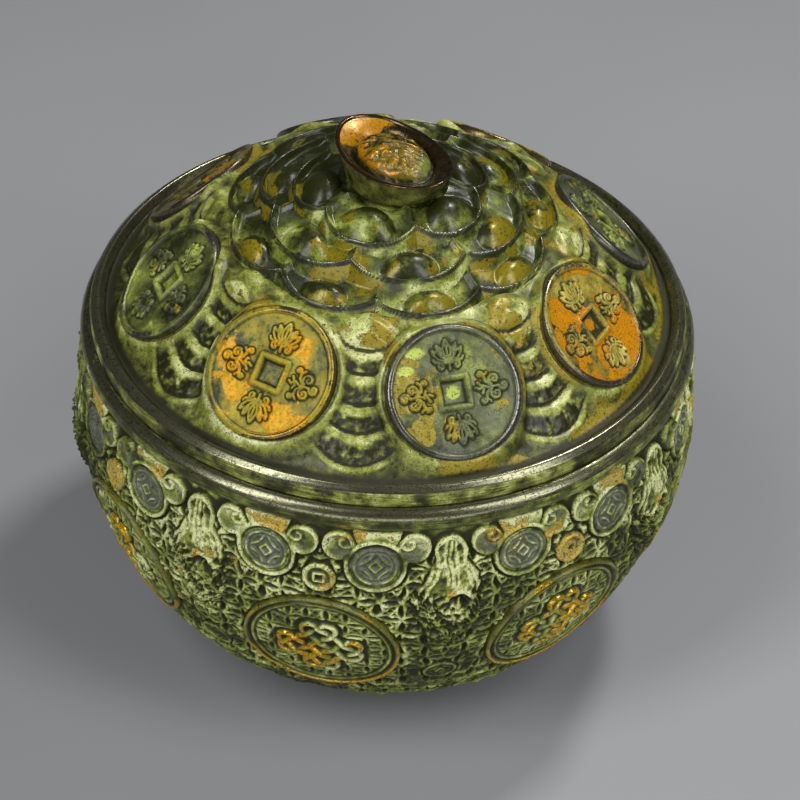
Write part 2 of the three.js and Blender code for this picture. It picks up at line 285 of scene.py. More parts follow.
# ---------------------------------------------------------------- materials
class Graph:
    def __init__(self, name):
        self.mat = bpy.data.materials.new(name)
        self.mat.use_nodes = True
        self.nt = self.mat.node_tree
        self.nt.nodes.clear()
        self.out = self.nt.nodes.new("ShaderNodeOutputMaterial")
        self.bsdf = self.nt.nodes.new("ShaderNodeBsdfPrincipled")
        self.link(self.bsdf.outputs[0], self.out.inputs[0])
        tc = self.nt.nodes.new("ShaderNodeTexCoord")
        self.co = tc.outputs["Object"]

    def link(self, a, b):
        self.nt.links.new(a, b)

    def put(self, socket, v):
        if isinstance(v, bpy.types.NodeSocket):
            self.link(v, socket)
        elif isinstance(v, (tuple, list)):
            socket.default_value = (*v, 1.0) if len(v) == 3 and socket.type == "RGBA" else v
        else:
            socket.default_value = v

    def attr(self, name):
        n = self.nt.nodes.new("ShaderNodeAttribute")
        n.attribute_name = name
        return n.outputs["Fac"]

    def noise(self, scale, detail=3.0, rough=0.55, vec=None, distort=0.0):
        n = self.nt.nodes.new("ShaderNodeTexNoise")
        self.put(n.inputs["Vector"], vec or self.co)
        n.inputs["Scale"].default_value = scale
        n.inputs["Detail"].default_value = detail
        n.inputs["Roughness"].default_value = rough
        n.inputs["Distortion"].default_value = distort
        return n.outputs["Fac"]

    def cells(self, scale, feature="F1", vec=None, rand=1.0):
        n = self.nt.nodes.new("ShaderNodeTexVoronoi")
        n.feature = feature
        self.put(n.inputs["Vector"], vec or self.co)
        n.inputs["Scale"].default_value = scale
        n.inputs["Randomness"].default_value = rand
        return n.outputs["Distance"]

    def math(self, op, a, b=0.0, c=0.0, clamp=False):
        n = self.nt.nodes.new("ShaderNodeMath")
        n.operation = op
        n.use_clamp = clamp
        self.put(n.inputs[0], a)
        self.put(n.inputs[1], b)
        self.put(n.inputs[2], c)
        return n.outputs[0]

    def add(self, *terms):
        """Sum of sockets, numbers and (socket, factor, offset) terms, where offset is taken off before the factor."""
        total = None
        for t in terms:
            if isinstance(t, tuple):
                s, k, o = t
                t = self.math("MULTIPLY_ADD", s, k, -k * o)
            total = t if total is None else self.math("ADD", total, t)
        return total

    def step(self, x, lo, hi, to_lo=0.0, to_hi=1.0):
        n = self.nt.nodes.new("ShaderNodeMapRange")
        n.interpolation_type = "SMOOTHSTEP"
        n.clamp = True
        self.put(n.inputs["Value"], x)
        n.inputs["From Min"].default_value = lo
        n.inputs["From Max"].default_value = hi
        n.inputs["To Min"].default_value = to_lo
        n.inputs["To Max"].default_value = to_hi
        return n.outputs["Result"]

    def mix(self, f, a, b, kind="MIX"):
        n = self.nt.nodes.new("ShaderNodeMix")
        n.data_type = "RGBA"
        n.blend_type = kind
        self.put(n.inputs[0], f)
        self.put(n.inputs[6], a)
        self.put(n.inputs[7], b)
        return n.outputs[2]

    def vec(self, x, y, z):
        n = self.nt.nodes.new("ShaderNodeCombineXYZ")
        for s, v in zip(n.inputs, (x, y, z)):
            self.put(s, v)
        return n.outputs[0]

    def split(self, v):
        n = self.nt.nodes.new("ShaderNodeSeparateXYZ")
        self.put(n.inputs[0], v)
        return n.outputs

    def bump(self, height, strength, distance, normal=None):
        n = self.nt.nodes.new("ShaderNodeBump")
        n.inputs["Strength"].default_value = strength
        n.inputs["Distance"].default_value = distance
        self.put(n.inputs["Height"], height)
        if normal is not None:
            self.put(n.inputs["Normal"], normal)
        return n.outputs[0]

    def finish(self, **sockets):
        names = {
            "colour": "Base Color", "rough": "Roughness", "metal": "Metallic", "normal": "Normal",
            "spec": "Specular IOR Level", "coat": "Coat Weight", "coat_rough": "Coat Roughness",
        }
        for k, v in sockets.items():
            self.put(self.bsdf.inputs[names[k]], v)
        return self.mat


def patina(name, ramp, gold, ember, metal, grain=1.0, streaks=False, gloss=0.0, speck=0.6, busy=1.0, spec=0.5, steel=(0.046, 0.054, 0.032), gilt=0.12, pit=0.75):
    """Patinated bronze. The mesh says how thick the green is (lime), where gilding is left (gold), where bare metal
    shows (dark), where the glaze is grey (steel) and where shade is painted into hollows, grooves, gaps and undersides
    (deep); the noise here breaks the edges of them all."""
    crust, shade, green, lime, pale = ramp
    g = Graph(name)
    big = g.noise(95.0, 3.0, 0.5)
    mid = g.noise(380.0, 4.0, 0.6, distort=0.6)
    small = g.noise(1200.0, 3.0, 0.6)
    fine = g.noise(3400.0, 2.0, 0.6)
    a_lime, a_gold, a_dark, a_deep, a_steel = (g.attr(k) for k in ("lime", "gold", "dark", "deep", "steel"))
    extra, keep = [], 0.55
    if streaks:
        x, y, z = g.split(g.co)
        r = g.math("SQRT", g.add(g.math("MULTIPLY", x, x), g.math("MULTIPLY", y, y)))
        around = g.vec(g.math("MULTIPLY", g.math("DIVIDE", x, r), 11.0), g.math("MULTIPLY", g.math("DIVIDE", y, r), 11.0), g.math("MULTIPLY", g.attr("prof"), 3.6))
        brushed = g.noise(1.0, 4.0, 0.72, vec=around)
        band = g.attr("band")
        extra = [(g.math("MULTIPLY", g.math("SUBTRACT", brushed, 0.5), band), 1.0, 0.0)]
        keep = g.math("MULTIPLY_ADD", band, -0.40, 0.55, clamp=True)
    v = g.add(a_lime, (big, 0.5 * busy, 0.5), (mid, 1.0 * busy, 0.5), (small, 0.9 * busy, 0.5), (fine, 0.7 * busy, 0.5), *[(e[0], 1.8, 0.0) for e in extra])
    col = g.mix(g.step(v, -0.14, 0.16), crust, shade)
    col = g.mix(g.step(v, 0.10, 0.38), col, green)
    col = g.mix(g.step(v, 0.36, 0.66), col, lime)
    col = g.mix(g.step(v, 0.66, 1.02), col, pale)
    col = g.mix(g.step(g.add(a_steel, (mid, 1.3, 0.5), (small, 0.9, 0.5), (fine, 0.5, 0.5)), 0.30, 0.70, 0.0, 0.80), col, g.mix(g.step(g.add((mid, 0.8, 0.0), (small, 0.8, 0.5), (fine, 0.6, 0.5)), 0.30, 0.72), tuple(0.62 * c for c in steel), tuple(1.25 * c for c in steel)))
    gm = g.step(g.add(a_gold, (mid, 0.5, 0.5), (small, 0.5, 0.5), (fine, 0.3, 0.5)), 0.45, 0.55)
    glow = g.mix(g.step(g.add((mid, 0.9, 0.0), (small, 0.7, 0.3)), 0.34, 0.74), gold, ember)
    dots = g.noise(2500.0, 2.0, 0.7)
    glow = g.mix(g.step(g.add((dots, 1.0, 0.0), (mid, 0.35, 0.5)), 0.52, 0.64, 0.0, speck), glow, tuple(0.55 * a + 0.1 * b for a, b in zip(green, gold)))
    col = g.mix(gm, col, glow)
    seam = g.math("MULTIPLY", g.math("MULTIPLY", gm, g.math("SUBTRACT", 1.0, gm)), 2.0, clamp=True)
    col = g.mix(seam, col, shade)
    dm = g.step(g.add(a_dark, (mid, 0.6, 0.5), (small, 0.9, 0.5), (fine, 0.7, 0.5), *[(e[0], -1.5, 0.0) for e in extra]), 0.36, 0.64)
    col = g.mix(dm, col, metal)
    pits = g.step(g.add((small, 0.9, 0.0), (fine, 1.0, 0.42)), 0.58, 0.70, 0.0, pit)
    col = g.mix(pits, col, crust)
    # painted shade: the hollows, grooves, gaps and undersides marked in deep are darkened towards the crust colour and
    # made a little rougher
    painted_shade = g.step(g.add(a_deep, (small, 0.6, 0.5)), 0.12, 0.9, 0.0, 0.94)
    col = g.mix(painted_shade, col, tuple(0.7 * c for c in crust))
    rough = g.add(0.44 - gloss, (dm, -0.10, 0.0), (small, 0.3, 0.5), (fine, 0.25, 0.5), (painted_shade, 0.25, 0.0), (gm, -0.4 * (gilt - 0.12), 0.0), *[(e[0], 0.35, 0.0) for e in extra], *([(band, -0.03, 0.0)] if streaks else []))
    mt = g.math("MULTIPLY_ADD", dm, 0.80, g.math("MULTIPLY_ADD", gm, gilt, 0.04), clamp=True)
    height = g.add((mid, 0.5, 0.0), (small, 0.55, 0.0), (fine, 0.28, 0.0), *[(e[0], 0.25, 0.0) for e in extra])
    bump = g.bump(height, 0.55, 0.00013 * grain)
    if streaks:
        g.put(bump.node.inputs["Strength"], keep)
    return g.finish(colour=col, rough=rough, metal=mt, normal=bump, spec=spec)


METAL = (0.150, 0.146, 0.124)
BEAD = (0.172, 0.172, 0.108)
GREENS = ((0.024, 0.027, 0.003), (0.044, 0.051, 0.011), (0.104, 0.124, 0.022), (0.256, 0.316, 0.042), (0.690, 0.725, 0.360))
LID_GREENS = ((0.018, 0.019, 0.003), (0.042, 0.047, 0.014), (0.108, 0.124, 0.026), (0.280, 0.315, 0.048), (0.640, 0.680, 0.300))
HEAP_GREENS = ((0.019, 0.022, 0.004), (0.042, 0.050, 0.012), (0.100, 0.120, 0.024), (0.255, 0.305, 0.042), (0.590, 0.630, 0.260))
MUSTARD, MUSTARD_LIT = (0.265, 0.222, 0.015), (0.310, 0.240, 0.016)

MAT = {
    "patina_bronze": patina("patina_bronze", GREENS, (0.585, 0.485, 0.130), (0.590, 0.410, 0.055), BEAD, streaks=True, gloss=0.06, busy=1.25, spec=0.36, steel=(0.190, 0.214, 0.162)),
    "lid_bronze": patina("lid_bronze", LID_GREENS, MUSTARD, MUSTARD_LIT, BEAD, grain=0.6, streaks=True, gloss=0.07, speck=0.2, busy=1.3, spec=0.38),
    "heap_bronze": patina("heap_bronze", HEAP_GREENS, (0.225, 0.188, 0.009), (0.255, 0.200, 0.009), METAL, grain=0.6, gloss=0.16, speck=0.25, busy=1.3, spec=0.38, steel=(0.062, 0.078, 0.044)),
    "gilt_medallion": patina("gilt_medallion", GREENS, (0.66, 0.440, 0.026), (0.74, 0.420, 0.014), (0.13, 0.10, 0.05), grain=0.7, gloss=0.10, speck=0.5, busy=1.15, spec=0.4, steel=(0.150, 0.132, 0.014), gilt=0.5),
    "coin_green": patina("coin_green", ((0.020, 0.023, 0.006), (0.052, 0.062, 0.016), (0.100, 0.118, 0.030), (0.210, 0.245, 0.050), (0.440, 0.540, 0.080)), MUSTARD, MUSTARD_LIT, METAL, grain=0.6, gloss=0.06, speck=0.35, busy=1.3, spec=0.4, steel=(0.135, 0.155, 0.088)),
    "coin_gilt": patina("coin_gilt", ((0.040, 0.034, 0.008), (0.102, 0.118, 0.038), (0.270, 0.226, 0.018), (0.405, 0.318, 0.020), (0.520, 0.450, 0.100)), (0.500, 0.300, 0.004), (0.575, 0.278, 0.003), (0.15, 0.11, 0.045), grain=0.7, gloss=0.08, busy=1.1, spec=0.18, pit=0.35),
    "coin_orange": patina("coin_orange", ((0.036, 0.028, 0.006), (0.095, 0.100, 0.028), (0.250, 0.205, 0.028), (0.420, 0.350, 0.060), (0.560, 0.500, 0.150)), (0.520, 0.220, 0.004), (0.660, 0.262, 0.002), (0.16, 0.14, 0.10), grain=0.7, gloss=0.08, busy=1.1, spec=0.25, pit=0.5),
    "coin_olive": patina("coin_olive", ((0.028, 0.026, 0.006), (0.068, 0.066, 0.017), (0.125, 0.110, 0.020), (0.200, 0.172, 0.030), (0.290, 0.250, 0.065)), (0.34, 0.210, 0.014), (0.40, 0.205, 0.008), (0.13, 0.11, 0.07), grain=0.6, gloss=0.08, spec=0.4),
    "finial_gilt": patina("finial_gilt", ((0.014, 0.013, 0.003), (0.040, 0.040, 0.010), (0.100, 0.106, 0.022), (0.210, 0.240, 0.045), (0.400, 0.470, 0.190)), (0.390, 0.235, 0.006), (0.530, 0.215, 0.002), (0.080, 0.053, 0.025), grain=0.6, gloss=0.15, speck=0.30, spec=0.42, steel=(0.315, 0.222, 0.010)),
}


def metal_plain(name, a, b, stain, rough, lathe_lines=True, metal=0.9):
    """Turned or spun metal with fine lines, stains and small scratches."""
    g = Graph(name)
    big = g.noise(70.0, 4.0, 0.6)
    small = g.noise(900.0, 3.0, 0.6)
    fine = g.noise(4800.0, 2.0, 0.6)
    col = g.mix(g.step(g.add((big, 1.0, 0.0), (small, 0.4, 0.5)), 0.32, 0.7), a, b)
    col = g.mix(g.step(g.add((big, 0.6, 0.0), (small, 0.9, 0.3)), 0.5, 0.75, 0.0, 0.8), col, stain)
    terms = [(small, 0.35, 0.0), (fine, 0.35, 0.0)]
    if lathe_lines:
        x, y, z = g.split(g.co)
        r = g.math("SQRT", g.add(g.math("MULTIPLY", x, x), g.math("MULTIPLY", y, y)))
        ring = g.noise(1.0, 3.0, 0.7, vec=g.vec(g.math("MULTIPLY", r, 2600.0), g.math("MULTIPLY", z, 2600.0), 0.0))
        terms.append((ring, 0.9, 0.0))
    rg = g.add(rough, (big, 0.25, 0.5), (small, 0.3, 0.5))
    return g.finish(colour=col, rough=rg, metal=metal, normal=g.bump(g.add(*terms), 0.35, 0.00008))


MAT["liner_copper"] = metal_plain("liner_copper", (0.42, 0.17, 0.075), (0.30, 0.105, 0.045), (0.10, 0.05, 0.03), 0.34)
MAT["stand_brass"] = metal_plain("stand_brass", (0.56, 0.37, 0.11), (0.44, 0.27, 0.07), (0.20, 0.12, 0.04), 0.30)
MAT["fixing_brass"] = metal_plain("fixing_brass", (0.48, 0.33, 0.12), (0.36, 0.23, 0.07), (0.14, 0.09, 0.03), 0.36, lathe_lines=False)


def fibre_mat():
    g = Graph("fire_mat")
    big = g.noise(120.0, 3.0, 0.5)
    x, y, z = g.split(g.co)
    warp = g.noise(1.0, 3.0, 0.7, vec=g.vec(g.math("MULTIPLY", x, 420.0), g.math("MULTIPLY", y, 2600.0), g.math("MULTIPLY", z, 2600.0)))
    weft = g.noise(1.0, 3.0, 0.7, vec=g.vec(g.math("MULTIPLY", x, 2600.0), g.math("MULTIPLY", y, 420.0), g.math("MULTIPLY", z, 2600.0)))
    fibre = g.math("MAXIMUM", warp, weft)
    col = g.mix(g.step(fibre, 0.42, 0.72), (0.36, 0.33, 0.28), (0.66, 0.63, 0.56))
    col = g.mix(g.step(big, 0.5, 0.75, 0.0, 0.45), col, (0.30, 0.26, 0.20))
    return g.finish(colour=col, rough=0.95, metal=0.0, normal=g.bump(fibre, 0.8, 0.0004), spec=0.2)


MAT["fire_mat"] = fibre_mat()


def dress(ob, slot, body, *nodes):
    ob.data.materials.append(MAT[slot])
    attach(ob, body)
    if nodes:
        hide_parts(*nodes)
    return ob


# ---------------------------------------------------------------- bowl
BELLY = through([(38.3, 4.35), (40.5, 5.3), (45.9, 9.3), (51.9, 17), (55.7, 25), (58.5, 33), (60.4, 41), (61.0, 49), (60.5, 57), (59.7, 62.5), (59.2, 65.7)], 0.25)
BELLY_N = profile_normals(BELLY)
BELLY_S = np.concatenate([[0], np.cumsum(np.hypot(*np.diff(BELLY, axis=0).T))])
BELLY_S = BELLY_S[-1] - BELLY_S + 5.5  # distance down the wall, about millimetres below the parting line


def belly_at(s):
    """Wall point, radius and normal at a distance down the wall."""
    o = np.argsort(BELLY_S)
    f = lambda a: np.interp(s, BELLY_S[o], a[o])
    return f(BELLY[:, 0]), f(BELLY[:, 1]), f(BELLY_N[:, 0]), f(BELLY_N[:, 1])


S_OF_Z = lambda z: float(np.interp(z, BELLY[:, 1], BELLY_S))


def coin_diaper(u, s, p, w, h):
    """Interlocked rings with a small pierced diamond in each gap."""
    x, y = u / p, s / p
    ix, iy = np.round(x), np.round(y)
    d = np.full(x.shape, 9.0)
    for dx in (-1, 0, 1):
        for dy in (-1, 0, 1):
            d = np.minimum(d, np.abs(np.hypot(x - ix - dx, y - iy - dy) - 0.7071))
    gem = (np.abs(x - ix) + np.abs(y - iy)) * p * 0.70711
    return np.maximum(ridge(d * p, w, h), ridge(gem - 0.60, 0.34, 0.85 * h))


def cash(x, y, r, h):
    """A small coin: double ring, four-arc star and a square in the middle, all in thin lines. Height over its ground."""
    d = np.hypot(x, y)
    out = np.maximum(ridge(d - r + 0.35, 0.42, h), ridge(d - r + 1.2, 0.30, 0.6 * h))
    k = r * 0.92
    arcs = np.minimum.reduce([np.abs(np.hypot(x - sx * k, y - sy * k) - k * 0.9) for sx in (-1, 1) for sy in (-1, 1)])
    inside = d < r - 1.1
    out = np.maximum(out, np.where(inside, ridge(arcs, 0.36, 0.9 * h), 0))
    sq = box_sdf((x + y) * 0.7071, (x - y) * 0.7071, 0.2 * r, 0.2 * r)
    out = np.maximum(out, ridge(sq, 0.34, 1.0 * h))
    return out


def cloud_head(x, y):
    """Ruyi head with a coin in it, y up. Height, distance to its outline, distance from the coin's middle and the plain field over it."""
    ring = np.hypot(x, y)
    ax = np.abs(x)
    vol = np.hypot(ax - 6.75, y - 4.15)
    lobe = vol - 3.05
    body = ring - 5.75
    arm = seg_dist(ax, y, (4.4, 2.0), (6.2, 3.4)) - 1.5
    field = box_sdf(x, y - 5.3, 4.0 + 0.16 * (y - 5.3), 2.2, 0.3)
    sd = -smax(-np.minimum(lobe, arm), -body, 0.8)
    H = 0.98 * smooth(0.3, -0.35, sd)
    fin = smooth(0.25, -0.2, field) * smooth(5.2, 5.6, ring) * smooth(-0.1, 0.35, lobe)
    H = np.maximum(H, 0.78 * fin)
    # scrolls: a thin outline and a curl on a swelling body
    on = smooth(0.0, -0.4, lobe)
    free = smooth(5.7, 7.2, ring)
    H = H - 0.30 * on * free
    H = H + on * free * (0.22 * np.sqrt(np.clip(1 - (vol / 3.0) ** 2, 0, 1)) + ridge(vol - 2.72, 0.34, 0.42))
    curl = line_dist(ax, y, [(4.3, 6.6)] + spiral(5.75, 5.1, 1.5, 0.55, 135, 440, 26))
    H = H + on * ridge(curl, 0.31, 0.42) - on * 0.18 * smooth(1.0, 0.6, curl) * (curl > 0.31)
    H = H + ridge(sd + 0.34, 0.32, 0.30) * smooth(4.9, 5.2, ring)
    # ring round the coin, then the coin
    rim = smooth(0.2, -0.2, body)
    H = H - rim * ridge(ring - 4.72, 0.27, 0.34)
    H = H - 0.45 * smooth(4.5, 4.15, ring)
    H = H + cash(x, y, 4.15, 0.46) * (ring < 4.5)
    return H, np.minimum(sd, field), ring, fin


def dome(x, y, cx, cy, rx, ry, h):
    """Half an ellipsoid, going below zero outside its outline."""
    q = ((x - cx) / rx) ** 2 + ((y - cy) / ry) ** 2
    return h * np.sqrt(np.clip(1 - q, 0, 1)) - 1.5 * np.clip(q - 1, 0, 1)


def beast(a, b):
    """A guardian's curly head in relief, seen with its crest up. a across, b down."""
    c0 = np.stack([a, b, 0 * b + 9.0], -1)
    wa = a + (fbm(c0, 4.0, 215, 2) - 0.5) * 1.4
    x = np.abs(wa)
    # arched crest panel with a fluted stem
    arch = np.where(b < 9.4, np.hypot(x, b - 9.4) - 3.1, x - 3.1 + 0.10 * (b - 9.4))
    arch = np.maximum(arch, b - 13.4)
    crest = 0.80 * smooth(0.35, -0.25, arch) + ridge(arch + 0.5, 0.42, 0.34) - 0.6 * np.clip(arch, 0, 1)
    flute = np.maximum(ridge(x, 0.36, 0.34), ridge(x - 0.95, 0.36, 0.28)) * smooth(18.0, 16.0, b) * smooth(6.8, 7.8, b)
    # smooth shoulders and a round lower head with a ragged outline
    w = np.interp(b, [10.0, 12.5, 15.0, 17.5, 20.5, 24.0, 27.5, 30.5, 33.0, 34.6], [2.4, 3.6, 5.0, 6.1, 6.8, 6.6, 5.6, 4.1, 2.2, 0.4])
    w = w * (1.0 + 0.30 * (fbm(np.stack([np.sign(wa) * 7.0, b, 0 * b], -1), 2.4, 227, 2) - 0.5) * smooth(13.0, 18.0, b))
    q = x / w
    rise = np.interp(b, [10.0, 13.0, 16.5, 20.0, 24.0, 28.0, 31.5, 34.0, 35.0], [0.5, 1.15, 1.65, 1.8, 2.0, 1.9, 1.5, 0.8, 0.0])
    head = rise * np.sqrt(np.clip(1 - q**2.2, 0, 1)) - 1.5 * np.clip(q - 1, 0, 1)
    head = np.where((b > 10.0) & (b < 34.9), head, -1.0)
    H = np.maximum(crest, head)
    on = smooth(0.05, 0.4, H)
    H = H + on * flute
    # folds down the shoulders
    for off, hh in ((0.9, 0.34), (2.1, 0.28)):
        H = H + on * ridge(x - (w - off), 0.40, hh) * smooth(12.5, 14.5, b) * smooth(21.5, 19.0, b)
    # tangled curls
    c = np.stack([wa, b, 0 * b], -1)
    warp = np.stack([fbm(c, 1.9, 217, 2) - 0.5, fbm(c, 1.9, 219, 2) - 0.5, 0 * b], -1) * 2.6
    worm = 1.0 - 2.0 * np.abs(vnoise((c + warp) / 0.98, 221) - 0.5) / 0.5
    worm2 = 1.0 - 2.0 * np.abs(vnoise((c - warp) / 0.74, 223) - 0.5) / 0.5
    mane = smooth(18.6, 20.8, b + 0.16 * x) * on
    H = H + mane * (0.80 * smooth(0.15, 0.85, worm) + 0.40 * smooth(0.2, 0.9, worm2) - 0.55)
    # a dark hollow under a rolled lip, to one side
    lip = line_dist(wa, b, [(-0.9, 19.6), (0.3, 18.8), (1.8, 18.6), (3.2, 19.4), (3.9, 20.8)])
    hole = line_dist(wa, b, [(0.2, 19.9), (1.7, 19.7), (3.0, 20.7), (2.8, 21.9)])
    H = H + on * ridge(lip, 0.5, 0.45) - on * 1.0 * np.clip(1 - (hole / 1.0) ** 2, 0, 1)
    rough = fbm(np.stack([a, b, 0 * b + 5.0], -1), 1.3, 207, 3) - 0.5
    gild = on * np.clip(1 - (np.hypot(wa + 0.2, b - 19.0) / 1.5) ** 2, 0, 1)
    return np.where(on > 0, H + on * 0.6 * rough, -1.0), gild, smooth(9.5, 11.5, b) * smooth(18.5, 15.0, b) * on, mane


def bay_relief(u, s, phi, r):
    """Height of the belly's ornament over the ground, for one bay, and where it is gilded, smooth or bluish."""
    fade = smooth(62.5, 60.5, s)
    q = np.stack([np.abs(u), s, 0 * u], -1)
    wu, ws = (fbm(q, 3.4, 201, 2) - 0.5) * 1.8, (fbm(q, 3.4, 203, 2) - 0.5) * 1.8
    H = coin_diaper(u + wu * np.sign(u), s - S_OF_Z(35.2) + ws, 4.3, 0.52, 0.85)
    H = H * (0.22 + 1.5 * fbm(q, 1.7, 205, 2))
    H = np.maximum(H, 0) * smooth(8.0, 10.0, s)
    gold = np.zeros_like(H)
    plain = smooth(8.5, 7.0, s) * 0.4
    steel = np.zeros_like(H)
    rho = np.hypot(u, s - S_OF_Z(35.2))
    H = H * smooth(14.6, 15.6, rho)
    for sx in (-1, 1):
        cx = sx * math.radians(9.45) * 61.0
        h, sd, ring, fin = cloud_head(u - cx, -(s - 12.7))
        near = sd < 0.6
        H = np.where(near, np.maximum(h, H * smooth(0.1, 0.6, sd)), H)
        on = smooth(0.2, -0.3, sd)
        gold = np.maximum(gold, on * smooth(4.5, 5.4, ring) * 0.28 + 0.16 * fin)
        plain = np.maximum(plain, np.maximum(0.10 * on * smooth(4.4, 5.0, ring), 1.0 * fin))
        steel = np.maximum(steel, 0.60 * smooth(4.45, 4.15, ring) + (0.30 + 0.20 * smooth(5.4, 6.2, ring)) * on * (1 - fin))
    y = -(s - 16.2)
    d = np.hypot(u, y)
    hs = 1.05 * smooth(3.35, 2.95, d) + ridge(d - 2.75, 0.4, 0.3) - 0.3 * smooth(2.3, 1.9, d)
    hs = hs + ridge(box_sdf(u, y, 0.85, 0.85), 0.32, 0.45) - 0.45 * smooth(0.1, -0.25, box_sdf(u, y, 0.7, 0.7))
    H = np.where(d < 3.4, np.maximum(hs, 0), H)
    gold = np.where(d < 3.3, 0.64, gold)
    plain = np.where(d < 3.3, 0.5, plain)
    a = np.sign(u) * (np.abs(phi) - math.radians(22.5)) * r
    hb, gild, smoothed, mane = beast(a, s)
    win = hb > 0.02
    H = np.where(win, hb, H)
    gold = np.where(win, 0.14 + 0.7 * gild, gold)
    plain = np.where(win, 0.8 * smoothed - 0.36 * mane, plain)
    steel = np.where(win, 0.12 * smoothed, steel)
    yb = -(s - 45.0)
    db = np.hypot(a, yb)
    hc = 0.7 * smooth(3.6, 3.2, db) + cash(a, yb, 3.3, 0.4) * (db < 3.4)
    H = np.where(db < 3.6, np.maximum(hc, 0), H)
    foot = ridge(s - 63.4, 0.7, 0.6)
    return H * fade + foot * 0.8, gold * fade, plain, steel


def make_bowl():
    n = BAY_COLS * BAYS
    bead = np.array([(58.0 + 2.5 * math.cos(t), 68.45 + 2.5 * math.sin(t)) for t in np.radians(np.linspace(-62, 82, 26))])
    neck = even(joined([(59.2, 65.7)], [(59.1, 66.0)], bead[:1]), 0.25)
    seat = even(np.array([(58.2, 70.85), (57.4, 70.7), (55.4, 70.7), (55.05, 70.4), (55.0, 69.5), (55.0, 64.5)]), 0.9)
    inner = through([(55.0, 64.5), (56.4, 60), (57.2, 54), (57.0, 42), (54.0, 30), (48.2, 17.5), (42.0, 11.0), (36, 8), (20, 7.55), (4, 7.5)], 2.2)
    under = even(np.array([(4, 4.3), (38.0, 4.3)]), 3.0)
    prof = joined(under, BELLY, neck, bead, seat, inner)
    m0, m1 = len(under), len(under) + len(BELLY)
    phi = np.radians(BAY_TURN - 22.5 + 360.0 * (np.arange(n) + 0.5) / n)
    nrm = profile_normals(prof)
    rel = np.radians(-22.5 + 45.0 * (np.arange(BAY_COLS) + 0.5) / BAY_COLS)[None]
    s = BELLY_S[:, None] + 0 * rel
    r = BELLY[:, :1] + 0 * rel
    h, gold, plain, grey = bay_relief(rel * r, s, rel + 0 * r, r)
    H = np.zeros((len(prof), n))
    G = np.zeros_like(H)
    S = np.zeros_like(H)
    B = np.zeros_like(H)
    B[m0:m1] = np.tile(grey, BAYS)
    H[m0:m1] = np.tile(h, BAYS)
    G[m0:m1] = np.tile(gold, BAYS)
    S[m0:m1] = np.tile(plain, BAYS)
    base = polar(prof[:, :1] + 0 * phi[None], phi[None] + 0 * prof[:, :1], prof[:, 1:])
    wob = (fbm(base[m0:m1], 2.4, 3, 3) - 0.5) * 0.36 + (fbm(base[m0:m1], 0.95, 7, 2) - 0.5) * 0.26
    H[m0:m1] += wob * smooth(64, 60, s[:, :1])
    P = polar(prof[:, :1] + nrm[:, :1] * H, phi[None] + 0 * H, prof[:, 1:] + nrm[:, 1:] * H)
    conv = (H - blur(H, 3.6, 3.5, True)) / 0.28
    wide = (H - blur(H, 11.0, 10.8, True)) / 0.7
    patch = fbm(base, 15.0, 11, 3)
    spots = fbm(base, 4.0, 23, 3)
    # painted light and shade on the belly: high makes the upper belly paler, low makes the lower belly darker and less
    # gilded, and the left and right sides of the belly are darkened
    low = smooth(38.0, 14.0, prof[:, 1:]) + 0 * H
    high = np.zeros_like(H)
    high[m0:m1] = smooth(34.0, 10.0, s[:, :1])
    heads = smooth(0.20, 0.45, B) * smooth(0.75, 0.60, B)
    lime = 0.12 + (0.64 - 0.40 * heads) * np.clip(conv, -1, 0.8) + (0.24 - 0.10 * heads) * np.clip(wide, -1, 0.9) + heads * (2.1 * (fbm(base, 5.0, 27, 2) - 0.5) + 0.10) + 1.0 * (patch - 0.5) + 0.8 * (spots - 0.5) + 0.50 * S - 0.26 * low + 0.31 * high - 0.56 * smooth(-30.0, -60.0, base[..., 0]) - 0.24 * smooth(34.0, 60.0, base[..., 0])
    # painted shade in the hollows of the relief
    deep = np.clip(-0.75 * conv - 0.2 * wide + 0.02 - 0.3 * B - 0.2 * S, 0, 1)
    dark = 0.02 + 0.12 * np.clip(-wide, 0, 1) + 0.35 * (0.5 - patch)
    grey = B * np.clip(1 - (1.3 - 0.5 * heads - 0.6 * smooth(0.72, 0.85, B)) * np.clip(conv, 0, 1), 0, 1) + 0.10 * (0.5 - spots) + 0.7 * heads * (0.5 - fbm(base, 5.0, 27, 2))
    tint = fbm(base, 6.0, 31, 3)
    gold = np.where(G > 0.01, G + 1.1 * (tint - 0.5) + 0.5 * (spots - 0.5), 0.08 + 1.15 * (tint - 0.5)) - 0.1 * low
    rows = np.arange(len(prof))[:, None]
    bead_row = (rows >= m1) & (rows < m1 + len(neck) + len(bead))
    in_row = rows >= m1 + len(neck) + len(bead)
    zz = prof[:, 1:] + 0 * H
    bead_green = 0.30 * smooth(70.7, 70.95, zz) + 1.0 * smooth(69.9, 68.9, zz)
    lime = np.where(bead_row, 0.08 + 0.24 * bead_green + 0.9 * (patch - 0.5) + 1.2 * (spots - 0.5), np.where(in_row, 0.0, lime))
    right = smooth(18.0, 56.0, base[..., 0])
    dark = np.where(bead_row, 0.84 - 0.76 * bead_green - 0.30 * right * (1 - bead_green) + 0.6 * (0.5 - patch), np.where(in_row, 0.62, dark))
    # painted shade in the neck under the bead and a little inside the bowl
    deep = np.where(bead_row, 0.25 * smooth(66.3, 65.9, zz), np.where(in_row, 0.1, deep))
    gold = np.where(bead_row, -0.12 + 0.34 * smooth(69.6, 68.6, zz) + 0.22 * right + 1.2 * (tint - 0.5), np.where(in_row, 0.0, gold))
    grey = np.where(bead_row | in_row, 0.0, grey)
    band = np.where(bead_row | in_row, 1.0, 0.0) + 0 * H
    arc = np.concatenate([[0], np.cumsum(np.hypot(*np.diff(prof, axis=0).T))])[:, None] + 0 * H
    ob = lathe("bowl_body", P, dict(lime=lime, deep=deep, dark=dark, gold=gold, band=band, prof=arc, steel=grey), (0, 0, 4.3), (0, 0, 7.5))
    return dress(ob, "patina_bronze", "bowl", "bowl_shell")


make_bowl()


